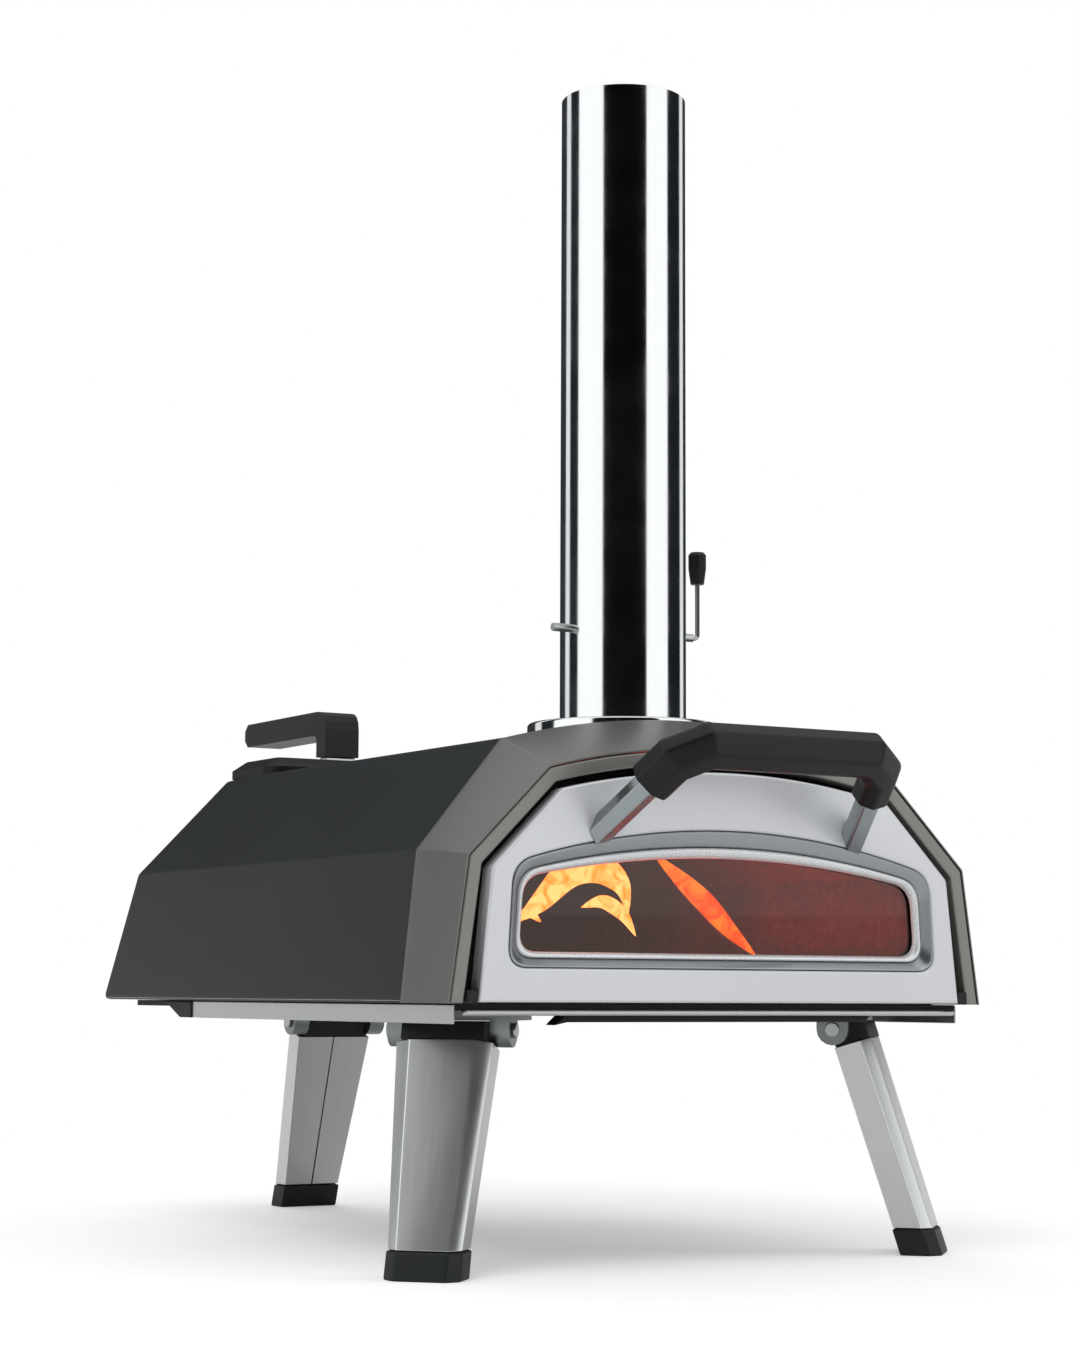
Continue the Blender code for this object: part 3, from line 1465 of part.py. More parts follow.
def leg_bolt(name, frame):
    """A pivot bolt with a head outside each ear."""
    inner = EAR_OUTER + CLEAR
    outer = inner + BOLT_HEAD_HEIGHT
    profile = [
        (0, outer),
        (BOLT_HEAD_RADIUS, outer),
        (BOLT_HEAD_RADIUS, inner),
        (BOLT_RADIUS, inner),
        (BOLT_RADIUS, -inner),
        (BOLT_HEAD_RADIUS, -inner),
        (BOLT_HEAD_RADIUS, -outer),
        (0, -outer),
    ]
    along_hinge = frame @ Matrix.Rotation(math.radians(90), 4, "Y")
    finish(turned(name, profile, along_hinge, SMALL_SIDES), name, "stainless")


def leg_bracket(name, frame):
    """The steel bracket under the pan: a plate with two rounded ears."""
    roof = PLATE_UNDER_Z - LEG_PIVOT_Z + BRACKET_PLATE
    under = PLATE_UNDER_Z - LEG_PIVOT_Z
    plate = [
        (-BRACKET_INNER, -roof),
        (BRACKET_OUTER, -roof),
        (BRACKET_OUTER, -under),
        (-BRACKET_INNER, -under),
    ]
    item = flat(name, [plate], 2 * EAR_OUTER, frame @ placed_sideways(0))
    for side in (-1, 1):
        ear = [(-EAR_RADIUS, -roof + SHEET), (EAR_RADIUS, -roof + SHEET)]
        for step in range(SMALL_SIDES // 2 + 1):
            turn = math.pi * step / (SMALL_SIDES // 2)
            ear.append((EAR_RADIUS * math.cos(turn), EAR_RADIUS * math.sin(turn)))
        middle = side * (EAR_INNER + EAR_THICKNESS / 2)
        tool = flat(name + "_ear", [ear], EAR_THICKNESS, frame @ placed_sideways(middle))
        boolean(item, as_cutter(tool, name + "_ear"), "UNION")
    boolean(item, bolt_bore(name, frame), "DIFFERENCE")
    finish(item, name, "stainless")


LEGS = {
    "front_left": ((-FRONT_PIVOT_X, RIM_Y + FRONT_PIVOT_DEPTH, LEG_PIVOT_Z), (-1, -1, 0)),
    "front_right": ((FRONT_PIVOT_X, RIM_Y + FRONT_PIVOT_DEPTH, LEG_PIVOT_Z), (1, -1, 0)),
    "rear": ((0, RIM_Y + REAR_PIVOT_DEPTH, LEG_PIVOT_Z), (0, 1, 0)),
}


def folding_leg(name, pivot, outward):
    """One leg with its foot, head block, bracket and pivot bolt."""
    leaning = leg_frame(pivot, outward, LEG_SPLAY)
    level = leg_frame(pivot, outward, 0)
    leg_channel(name + "_leg", leaning)
    leg_foot(name + "_foot", leaning)
    leg_block(name + "_leg_block", leaning)
    leg_bracket(name + "_leg_bracket", level)
    leg_bolt(name + "_leg_bolt", level)


def build():
    """Make every piece of the oven."""
    outer_shell()
    front_hood()
    front_rim()
    door_frame()
    door_gasket()
    inner_liner()
    insulation_blanket()
    rear_panel()
    base_pan()
    for word, side in (("left", -1), ("right", 1)):
        base_rail(word + "_base_rail", side)
        rail_cap(word + "_rail_cap", side)
        handle_post(word + "_handle_post", side)
        door_hinge(word + "_door_hinge", side)
    base_lip()
    front_stiffener()
    floor_insulation()
    stone_support()
    baking_stone()
    hopper_walls()
    hopper_floor()
    hopper_top()
    hatch_hinge_pin()
    hatch_lid()
    hatch_ferrule()
    hatch_handle()
    fuel_tray()
    fuel_grate()
    tray_end()
    door_panel()
    door_inner_skin()
    window_bezel()
    door_glass()
    door_handle_grip()
    chimney_collar()
    flue_spigot()
    chimney_tube()
    damper_axle()
    damper_disc()
    damper_wire()
    damper_knob()
    for name, (pivot, outward) in LEGS.items():
        folding_leg(name, pivot, outward)


build()
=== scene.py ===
# %% [markdown]
# # A portable pizza oven
# A charcoal steel body with a flat-sided arch, a grey front hood, a silver door with a wide
# window, a polished chimney, a fuel hatch at the back and three folding legs. The packed
# model gives the frame: every piece is made where that model says, in metres, and rides on
# the body that it moves with.

# %% The frame
import bpy
import bmesh
import json
import math
from mathutils import Matrix, Vector

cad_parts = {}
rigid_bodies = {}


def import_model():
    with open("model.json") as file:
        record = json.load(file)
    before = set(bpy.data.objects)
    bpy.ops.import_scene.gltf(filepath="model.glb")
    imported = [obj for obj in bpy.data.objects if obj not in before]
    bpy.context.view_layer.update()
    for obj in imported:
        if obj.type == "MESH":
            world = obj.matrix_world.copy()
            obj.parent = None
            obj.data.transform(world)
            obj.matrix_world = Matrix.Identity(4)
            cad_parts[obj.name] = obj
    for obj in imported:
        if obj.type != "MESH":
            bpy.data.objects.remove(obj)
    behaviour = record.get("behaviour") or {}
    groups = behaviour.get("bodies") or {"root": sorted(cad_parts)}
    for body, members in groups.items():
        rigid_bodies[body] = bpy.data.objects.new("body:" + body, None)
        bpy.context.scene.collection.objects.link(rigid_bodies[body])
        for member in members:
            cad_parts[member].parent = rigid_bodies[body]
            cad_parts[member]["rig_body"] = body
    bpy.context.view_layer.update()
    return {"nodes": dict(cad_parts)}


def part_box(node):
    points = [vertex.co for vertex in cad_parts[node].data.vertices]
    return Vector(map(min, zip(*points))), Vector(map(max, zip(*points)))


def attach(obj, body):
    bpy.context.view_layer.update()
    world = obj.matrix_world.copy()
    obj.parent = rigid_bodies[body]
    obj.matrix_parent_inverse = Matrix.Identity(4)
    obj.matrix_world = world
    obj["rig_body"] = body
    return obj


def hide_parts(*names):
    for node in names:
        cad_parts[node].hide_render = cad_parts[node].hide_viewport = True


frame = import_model()

# %% [markdown]
# The camera stands where the photographer's did, low and to the left of the door, and looks
# slightly up. Its place, turn and focal length were solved from the outline of the oven in
# the photograph. A small lens shift frames the picture without turning the camera.

# %% The camera
LENS = 73.42
CAMERA_PLACE = Vector((-0.987, -1.7401, 0.1711))
CAMERA_YAW = 0.530
CAMERA_PITCH = 0.1145
CAMERA_ROLL = 0.005
CAMERA_SHIFT = (0.0110, -0.0018)
SENSOR_WIDTH = 36


def stand_camera():
    """Places the camera by its yaw from +Y, its pitch upwards and its roll."""
    ahead = Vector((
        math.sin(CAMERA_YAW) * math.cos(CAMERA_PITCH),
        math.cos(CAMERA_YAW) * math.cos(CAMERA_PITCH),
        math.sin(CAMERA_PITCH),
    ))
    level = Vector((math.cos(CAMERA_YAW), -math.sin(CAMERA_YAW), 0))
    upright = level.cross(ahead)
    right = level * math.cos(CAMERA_ROLL) + upright * math.sin(CAMERA_ROLL)
    up = upright * math.cos(CAMERA_ROLL) - level * math.sin(CAMERA_ROLL)
    turn = Matrix((right, up, -ahead)).transposed().to_4x4()
    data = bpy.data.cameras.new("camera")
    data.lens = LENS
    data.sensor_width = SENSOR_WIDTH
    data.shift_x, data.shift_y = CAMERA_SHIFT
    camera = bpy.data.objects.new("camera", data)
    bpy.context.scene.collection.objects.link(camera)
    camera.matrix_world = Matrix.Translation(CAMERA_PLACE) @ turn
    bpy.context.scene.camera = camera
    return camera


camera = stand_camera()
bpy.context.scene.view_settings.view_transform = "Standard"
print("camera at", tuple(camera.matrix_world.translation))

# %% [markdown]
# Materials are small networks of nodes. One function adds a node with its options, typed
# values and links, and another turns a colour as a painter's code writes it into the linear
# numbers that light is worked out in.

# %% Nodes and colours
def add_node(tree, kind, options=None, values=None, links=None):
    """Adds one node: its options, the values typed into its sockets and its links."""
    made = tree.nodes.new(kind)
    for option, value in (options or {}).items():
        setattr(made, option, value)
    for socket, value in (values or {}).items():
        made.inputs[socket].default_value = value
    for socket, source in (links or {}).items():
        tree.links.new(source, made.inputs[socket])
    return made


def linear(code):
    """Linear red, green, blue and alpha of an sRGB colour written as six hex digits."""
    shares = [int(code[i:i + 2], 16) / 255 for i in (0, 2, 4)]
    light = [s / 12.92 if s <= 0.04045 else ((s + 0.055) / 1.055) ** 2.4 for s in shares]
    return (*light, 1.0)


def per_metre(millimetres):
    """A texture's scale for a pattern that repeats every so many millimetres."""
    return 1000 / millimetres


print("charcoal in linear light", linear("1e2123"))

# %% [markdown]
# The studio is a white room. For the camera, for reflections and for glass the world is
# plain white; for the light that falls on the oven it is dimmer, so that colours come out
# about as they are written. The floor is pale and keeps the oven's shadow, and fades into
# the white of the room with distance, so that no horizon shows.

# %% The room and the floor
WORLD_LIGHT = 0.62
FLOOR_REACH = 6.0
SHADOW_REACH = 0.55
WHITE_REACH = 1.3
FLOOR_LIFT = 0.30


def white_room():
    """White to the camera, mirrors and glass; softer as light on the oven."""
    world = bpy.data.worlds.new("white_room")
    bpy.context.scene.world = world
    world.use_nodes = True
    tree = world.node_tree
    tree.nodes.clear()
    path = add_node(tree, "ShaderNodeLightPath")
    seen = add_node(tree, "ShaderNodeMath", {"operation": "MAXIMUM"}, links={
        0: path.outputs["Is Camera Ray"], 1: path.outputs["Is Glossy Ray"]})
    shown = add_node(tree, "ShaderNodeMath", {"operation": "MAXIMUM"}, links={
        0: seen.outputs[0], 1: path.outputs["Is Transmission Ray"]})
    strength = add_node(tree, "ShaderNodeMapRange", values={
        "To Min": WORLD_LIGHT, "To Max": 1.0}, links={"Value": shown.outputs[0]})
    glow = add_node(tree, "ShaderNodeBackground", values={"Color": (1, 1, 1, 1)}, links={
        "Strength": strength.outputs[0]})
    add_node(tree, "ShaderNodeOutputWorld", links={"Surface": glow.outputs[0]})


def pale_floor():
    """A pale floor that keeps the shadow near the oven and is white far from it."""
    mesh = bpy.data.meshes.new("floor")
    reach = FLOOR_REACH
    mesh.from_pydata(
        [(-reach, -reach, 0), (reach, -reach, 0), (reach, reach, 0), (-reach, reach, 0)],
        [], [(0, 1, 2, 3)])
    floor = bpy.data.objects.new("floor", mesh)
    bpy.context.scene.collection.objects.link(floor)
    made = bpy.data.materials.new("pale_floor_paint")
    made.use_nodes = True
    tree = made.node_tree
    tree.nodes.clear()
    place = add_node(tree, "ShaderNodeTexCoord")
    far = add_node(tree, "ShaderNodeVectorMath", {"operation": "LENGTH"}, links={
        0: place.outputs["Object"]})
    fade = add_node(tree, "ShaderNodeMapRange", {"interpolation_type": "SMOOTHSTEP"}, {
        "From Min": SHADOW_REACH, "From Max": WHITE_REACH}, {"Value": far.outputs["Value"]})
    paint = add_node(tree, "ShaderNodeBsdfDiffuse", values={"Color": linear("e9e9e8")})
    lift = add_node(tree, "ShaderNodeEmission", values={
        "Color": (1, 1, 1, 1), "Strength": FLOOR_LIFT})
    near = add_node(tree, "ShaderNodeAddShader", links={
        0: paint.outputs[0], 1: lift.outputs[0]})
    white = add_node(tree, "ShaderNodeEmission", values={
        "Color": (1, 1, 1, 1), "Strength": 1.0})
    seen = add_node(tree, "ShaderNodeMixShader", links={
        0: fade.outputs[0], 1: near.outputs[0], 2: white.outputs[0]})
    path = add_node(tree, "ShaderNodeLightPath")
    look = add_node(tree, "ShaderNodeMixShader", links={
        0: path.outputs["Is Camera Ray"], 1: paint.outputs[0], 2: seen.outputs[0]})
    add_node(tree, "ShaderNodeOutputMaterial", links={"Surface": look.outputs[0]})
    mesh.materials.append(made)


white_room()
pale_floor()
print("floor", FLOOR_REACH * 2, "m wide")

# %% [markdown]
# Most of the light in a product picture comes from big soft boxes. Here one hangs high on
# the left, a weaker one on the right, and a third lies behind. Polished steel shows
# whatever stands round it, so the studio also has tall black and white cards. They are seen
# only in reflections, and give the chimney its dark and bright bands.

# %% Lamps and cards
LAMP_AIM = (0, 0, 0.3)
CARD_REACH = 3.2
CARD_FOOT = 0.30
CARD_TOP = 3.4
CARD_STEPS = 12
WHITE_CARD = 1.35


def soft_box(name, place, width, height, power):
    """A rectangular lamp that looks at the oven and isn't seen in its reflections."""
    data = bpy.data.lights.new(name, "AREA")
    data.shape = "RECTANGLE"
    data.size = width
    data.size_y = height
    data.energy = power
    lamp = bpy.data.objects.new(name, data)
    bpy.context.scene.collection.objects.link(lamp)
    ahead = Vector(LAMP_AIM) - Vector(place)
    turn = ahead.to_track_quat("-Z", "Y").to_matrix().to_4x4()
    lamp.matrix_world = Matrix.Translation(place) @ turn
    lamp.visible_glossy = False
    return lamp


def curved_card(name, angles, shade, strength=1.0):
    """A curved card round the oven, seen only by mirrors and satin metal."""
    start, end = [math.radians(angle) for angle in angles]
    points = []
    for step in range(CARD_STEPS + 1):
        turn = start + (end - start) * step / CARD_STEPS
        across, back = math.sin(turn) * CARD_REACH, -math.cos(turn) * CARD_REACH
        points += [(across, back, CARD_FOOT), (across, back, CARD_TOP)]
    faces = [(2 * i, 2 * i + 2, 2 * i + 3, 2 * i + 1) for i in range(CARD_STEPS)]
    mesh = bpy.data.meshes.new(name)
    mesh.from_pydata(points, [], faces)
    card = bpy.data.objects.new(name, mesh)
    bpy.context.scene.collection.objects.link(card)
    made = bpy.data.materials.new(name + "_card")
    made.use_nodes = True
    made.node_tree.nodes.clear()
    dull = add_node(made.node_tree, "ShaderNodeEmission", values={
        "Color": linear(shade), "Strength": strength})
    add_node(made.node_tree, "ShaderNodeOutputMaterial", links={"Surface": dull.outputs[0]})
    mesh.materials.append(made)
    card.visible_camera = False
    card.visible_diffuse = False
    card.visible_shadow = False
    card.visible_transmission = False
    return card


soft_box("key_box", (-1.5, -1.3, 2.2), 1.4, 1.4, 26)
soft_box("fill_box", (1.9, -1.2, 1.2), 1.2, 1.2, 9)
soft_box("back_box", (0.3, 2.0, 1.8), 1.6, 1.0, 12)
cards = [
    curved_card("camera_card", (-66, 10), "08090b"),
    curved_card("left_card", (-145, -120), "22272a"),
    curved_card("right_card", (54, 92), "1b1e24"),
    curved_card("back_card", (108, 199), "33363a"),
    curved_card("white_left_card", (-119, -67), "ffffff", WHITE_CARD),
    curved_card("white_right_card", (11, 53), "ffffff", WHITE_CARD),
]
print(len(cards), "cards")

# %% [markdown]
# Powder-coated steel: sheet steel dusted with dry paint and baked. It gives the eye a satin
# sheen with a faint orange-peel ripple, and small clouds in its gloss. The ripple is about
# a millimetre across, so its bump comes from a noise at that scale.

# %% Finish: powder-coated sheet
def new_finish(name):
    """An empty Principled material, its tree and its shader."""
    made = bpy.data.materials.new(name)
    made.use_nodes = True
    tree = made.node_tree
    return made, tree, tree.nodes["Principled BSDF"]


def set_shader(shader, **values):
    """Types values into the shader's own sockets."""
    for socket, value in values.items():
        shader.inputs[socket.replace("_", " ")].default_value = value


def link_shader(tree, shader, **outputs):
    """Links outputs to the shader's own sockets."""
    for socket, output in outputs.items():
        tree.links.new(output, shader.inputs[socket.replace("_", " ")])


def powder_coated_steel(name, dark, light, gloss, metal, ripple=0.9, shine=0.5):
    """Baked powder paint between two close shades, with an orange-peel ripple."""
    made, tree, shader = new_finish(name)
    place = add_node(tree, "ShaderNodeTexCoord")
    cloud = add_node(tree, "ShaderNodeTexNoise", values={
        "Scale": per_metre(90), "Detail": 3.0}, links={"Vector": place.outputs["Object"]})
    shade = add_node(tree, "ShaderNodeMix", {"data_type": "RGBA"}, {
        6: linear(dark), 7: linear(light)}, {0: cloud.outputs["Fac"]})
    grain = add_node(tree, "ShaderNodeTexNoise", values={
        "Scale": per_metre(ripple), "Detail": 2.0}, links={"Vector": place.outputs["Object"]})
    sheen = add_node(tree, "ShaderNodeMapRange", values={
        "To Min": gloss - 0.05, "To Max": gloss + 0.06}, links={"Value": grain.outputs["Fac"]})
    bump = add_node(tree, "ShaderNodeBump", values={
        "Strength": 0.16, "Distance": 0.0002}, links={"Height": grain.outputs["Fac"]})
    set_shader(shader, Metallic=metal, Specular_IOR_Level=shine)
    link_shader(tree, shader, Base_Color=shade.outputs[2], Roughness=sheen.outputs[0],
                Normal=bump.outputs[0])
    return made


charcoal_coat = powder_coated_steel(
    "charcoal_powder_coat", "1e2123", "262a2c", 0.42, 0.0, shine=0.2)
hood_coat = powder_coated_steel("grey_metallic_powder_coat", "6c6c6a", "777775", 0.38, 0.6)
rim_coat = powder_coated_steel("rim_metallic_powder_coat", "7d7c78", "8a8984", 0.36, 0.6)
door_coat = powder_coated_steel("silver_satin_enamel", "d0d2d7", "d9dbdf", 0.36, 0.35, 0.7)
bezel_coat = powder_coated_steel("bezel_satin_enamel", "9da1a5", "a6aaae", 0.30, 0.9)
lip_coat = powder_coated_steel("bezel_lip_enamel", "dfe1e4", "e6e8ea", 0.28, 0.35)
black_paint = powder_coated_steel(
    "black_stove_paint", "0f1011", "151617", 0.50, 0.0, 1.2, shine=0.25)
print("powder coats made")

# %% [markdown]
# Stainless steel is drawn bright, and its look comes from what was done to it last. The legs
# and rails are brushed with an abrasive belt, so fine scratches run along them and smear
# reflections sideways. A belt's scratches are a few hundredths of a millimetre wide, too
# fine for the picture, so they are drawn half a millimetre wide. The chimney is buffed to a
# mirror, with only a trace of haze from handling.

# %% Finish: brushed and polished stainless
def brushed_stainless(name, along, dark, light, gloss):
    """Belt-brushed steel whose scratches run along a direction."""
    made, tree, shader = new_finish(name)
    place = add_node(tree, "ShaderNodeTexCoord")
    level = Vector(along).to_track_quat("Z", "Y").inverted().to_euler()
    turned = add_node(tree, "ShaderNodeMapping", values={"Rotation": level}, links={
        "Vector": place.outputs["Object"]})
    drawn = add_node(tree, "ShaderNodeMapping", values={
        "Scale": (per_metre(0.5), per_metre(0.5), per_metre(60))}, links={
        "Vector": turned.outputs[0]})
    scratch = add_node(tree, "ShaderNodeTexNoise", values={
        "Scale": 1.0, "Detail": 3.0}, links={"Vector": drawn.outputs[0]})
    shade = add_node(tree, "ShaderNodeMix", {"data_type": "RGBA"}, {
        6: linear(dark), 7: linear(light)}, {0: scratch.outputs["Fac"]})
    sheen = add_node(tree, "ShaderNodeMapRange", values={
        "To Min": gloss - 0.07, "To Max": gloss + 0.10}, links={
        "Value": scratch.outputs["Fac"]})
    bump = add_node(tree, "ShaderNodeBump", values={
        "Strength": 0.10, "Distance": 0.00006}, links={"Height": scratch.outputs["Fac"]})
    set_shader(shader, Metallic=1.0)
    link_shader(tree, shader, Base_Color=shade.outputs[2], Roughness=sheen.outputs[0],
                Normal=bump.outputs[0])
    return made


def polished_stainless(name, base, gloss):
    """Buffed steel: a mirror with a faint haze of handling."""
    made, tree, shader = new_finish(name)
    place = add_node(tree, "ShaderNodeTexCoord")
    haze = add_node(tree, "ShaderNodeTexNoise", values={
        "Scale": per_metre(30), "Detail": 5.0}, links={"Vector": place.outputs["Object"]})
    sheen = add_node(tree, "ShaderNodeMapRange", values={
        "From Min": 0.35, "From Max": 0.75, "To Min": gloss, "To Max": gloss + 0.06}, links={
        "Value": haze.outputs["Fac"]})
    set_shader(shader, Metallic=1.0, Base_Color=linear(base))
    link_shader(tree, shader, Roughness=sheen.outputs[0])
    return made


SPLAY = math.radians(17.4)
leg_steel = {
    "front_left": Vector((-1, -1, 0)).normalized() * math.sin(SPLAY),
    "front_right": Vector((1, -1, 0)).normalized() * math.sin(SPLAY),
    "rear": Vector((0, 1, 0)) * math.sin(SPLAY),
}
for down in leg_steel.values():
    down.z = -math.cos(SPLAY)
level_steel = brushed_stainless("brushed_stainless_rail", (0, 1, 0), "b4b6b6", "c8caca", 0.30)
cross_steel = brushed_stainless("brushed_stainless_lip", (1, 0, 0), "b4b6b6", "c8caca", 0.30)
mirror_steel = polished_stainless("polished_stainless", "dcdedf", 0.09)
satin_steel = polished_stainless("zinc_plated_steel", "b9bcbd", 0.26)
post_steel = polished_stainless("satin_stainless_post", "a3aaad", 0.24)
bracket_steel = polished_stainless("pressed_steel_bracket", "8f9493", 0.34)
print("stainless finishes made")

# %% [markdown]
# The grips, the feet and the leg heads are glass-filled nylon, moulded in a spark-eroded
# tool. The tool leaves a fine grain of little pits, so the black looks matte and slightly
# grey where light rakes it. The grain is under half a millimetre; it is drawn a little
# coarser so that it shows.

# %% Finish: moulded nylon
def moulded_nylon(name, dark, light, gloss, grain=0.7):
    """Black nylon with a spark-eroded grain."""
    made, tree, shader = new_finish(name)
    place = add_node(tree, "ShaderNodeTexCoord")
    pits = add_node(tree, "ShaderNodeTexVoronoi", {"feature": "SMOOTH_F1"}, {
        "Scale": per_metre(grain), "Smoothness": 0.6}, {"Vector": place.outputs["Object"]})
    cloud = add_node(tree, "ShaderNodeTexNoise", values={
        "Scale": per_metre(25), "Detail": 3.0}, links={"Vector": place.outputs["Object"]})
    shade = add_node(tree, "ShaderNodeMix", {"data_type": "RGBA"}, {
        6: linear(dark), 7: linear(light)}, {0: cloud.outputs["Fac"]})
    sheen = add_node(tree, "ShaderNodeMapRange", values={
        "To Min": gloss - 0.05, "To Max": gloss + 0.08}, links={
        "Value": cloud.outputs["Fac"]})
    bump = add_node(tree, "ShaderNodeBump", values={
        "Strength": 0.22, "Distance": 0.00025}, links={"Height": pits.outputs["Distance"]})
    set_shader(shader, IOR=1.53, Specular_IOR_Level=0.3)
    link_shader(tree, shader, Base_Color=shade.outputs[2], Roughness=sheen.outputs[0],
                Normal=bump.outputs[0])
    return made


grip_nylon = moulded_nylon("moulded_nylon_grip", "0b0c0e", "121316", 0.40)
foot_nylon = moulded_nylon("moulded_nylon_foot", "14181a", "1b2022", 0.50, 0.9)
print("nylon made")

# %% [markdown]
# Inside, the baking stone is pressed cordierite: a pale biscuit body with dark specks and a
# few scorched clouds where bread has been. The liner is aluminised steel that has browned
# in the heat, the insulation is ceramic wool and board, and the grate is cast iron.

# %% Finish: stone, heat-browned liner, wool and cast iron
def speckled_solid(name, dark, light, cloud_size, speck_size, roughness, depth, metal=0.0):
    """A clouded, speckled solid: stone, browned steel, wool or cast iron."""
    made, tree, shader = new_finish(name)
    place = add_node(tree, "ShaderNodeTexCoord")
    cloud = add_node(tree, "ShaderNodeTexNoise", values={
        "Scale": per_metre(cloud_size), "Detail": 4.0, "Distortion": 0.4}, links={
        "Vector": place.outputs["Object"]})
    speck = add_node(tree, "ShaderNodeTexNoise", values={
        "Scale": per_metre(speck_size), "Detail": 3.0}, links={
        "Vector": place.outputs["Object"]})
    both = add_node(tree, "ShaderNodeMath", {"operation": "MULTIPLY"}, links={
        0: cloud.outputs["Fac"], 1: speck.outputs["Fac"]})
    share = add_node(tree, "ShaderNodeMapRange", values={
        "From Min": 0.15, "From Max": 0.36}, links={"Value": both.outputs[0]})
    shade = add_node(tree, "ShaderNodeMix", {"data_type": "RGBA"}, {
        6: linear(dark), 7: linear(light)}, {0: share.outputs[0]})
    bump = add_node(tree, "ShaderNodeBump", values={
        "Strength": 0.45, "Distance": depth}, links={"Height": speck.outputs["Fac"]})
    set_shader(shader, Roughness=roughness, Metallic=metal)
    link_shader(tree, shader, Base_Color=shade.outputs[2], Normal=bump.outputs[0])
    return made


cordierite = speckled_solid("pressed_cordierite", "8d7355", "cdb593", 70, 2.5, 0.85, 0.0004)
browned_liner = speckled_solid(
    "heat_browned_aluminised_steel", "3a2b22", "5f5145", 80, 4.0, 0.46, 0.0001, 0.8)
ceramic_wool = speckled_solid("ceramic_wool", "b9b2a2", "e3ddd0", 20, 1.6, 0.95, 0.0008)
cast_iron = speckled_solid("cast_iron_grate", "151413", "2a2724", 30, 1.8, 0.70, 0.0003, 0.6)
black_sheet = speckled_solid(
    "black_oxide_sheet", "17181a", "212325", 60, 1.4, 0.52, 0.00008, 0.4)
print("inside finishes made")

# %% [markdown]
# The seal round the door is braided glass-fibre rope, dyed black. Two sets of slanting
# waves, crossed, give the braid; a strand is about two and a half millimetres wide.

# %% Finish: braided seal
def braided_rope(name, dark, light, strand):
    """Black braid from two crossed sets of slanting waves."""
    made, tree, shader = new_finish(name)
    place = add_node(tree, "ShaderNodeTexCoord")
    ways = []
    for slant in (math.radians(45), math.radians(-45)):
        turned = add_node(tree, "ShaderNodeMapping", values={
            "Rotation": (0.6, slant, 0.3)}, links={"Vector": place.outputs["Object"]})
        ways.append(add_node(tree, "ShaderNodeTexWave", {"bands_direction": "Z"}, {
            "Scale": per_metre(strand) / 20, "Distortion": 0.4}, {
            "Vector": turned.outputs[0]}))
    woven = add_node(tree, "ShaderNodeMath", {"operation": "MULTIPLY"}, links={
        0: ways[0].outputs["Fac"], 1: ways[1].outputs["Fac"]})
    shade = add_node(tree, "ShaderNodeMix", {"data_type": "RGBA"}, {
        6: linear(dark), 7: linear(light)}, {0: woven.outputs[0]})
    bump = add_node(tree, "ShaderNodeBump", values={
        "Strength": 0.7, "Distance": 0.0006}, links={"Height": woven.outputs[0]})
    set_shader(shader, Roughness=0.9)
    link_shader(tree, shader, Base_Color=shade.outputs[2], Normal=bump.outputs[0])
    return made


seal_braid = braided_rope("braided_glass_fibre_seal", "08080a", "19191b", 2.5)

# %% [markdown]
# The pane is borosilicate glass, stained amber by smoke, with a thin and uneven haze. It is
# still clear enough to show the fire, and the stain together with the glow of the oven
# behind it gives the window its red-brown.

# %% Finish: smoked glass
def smoked_glass(name, tint, clear_gloss):
    """Borosilicate glass with an amber stain and an uneven haze."""
    made, tree, shader = new_finish(name)
    place = add_node(tree, "ShaderNodeTexCoord")
    haze = add_node(tree, "ShaderNodeTexNoise", values={
        "Scale": per_metre(45), "Detail": 5.0}, links={"Vector": place.outputs["Object"]})
    sheen = add_node(tree, "ShaderNodeMapRange", values={
        "From Min": 0.5, "From Max": 0.8, "To Min": clear_gloss, "To Max": 0.09}, links={
        "Value": haze.outputs["Fac"]})
    set_shader(shader, Base_Color=linear(tint), IOR=1.47, Transmission_Weight=1.0)
    link_shader(tree, shader, Roughness=sheen.outputs[0])
    return made


window_glass = smoked_glass("smoked_borosilicate_glass", "c9794a", 0.015)
print("seal and glass made")

# %% [markdown]
# Every piece of the frame gets its real finish. Pieces that show only their plain form, such
# as the sheets inside, keep the frame's mesh and take the finish as it is. The others are
# given a finer mesh in the cells below, which stands for them.

# %% Finishes on the frame's pieces
leg_finish = {}
for leg, along in leg_steel.items():
    leg_finish[leg] = brushed_stainless(
        "brushed_stainless_" + leg + "_leg", along, "cfd2d2", "dfe1e1", 0.34)

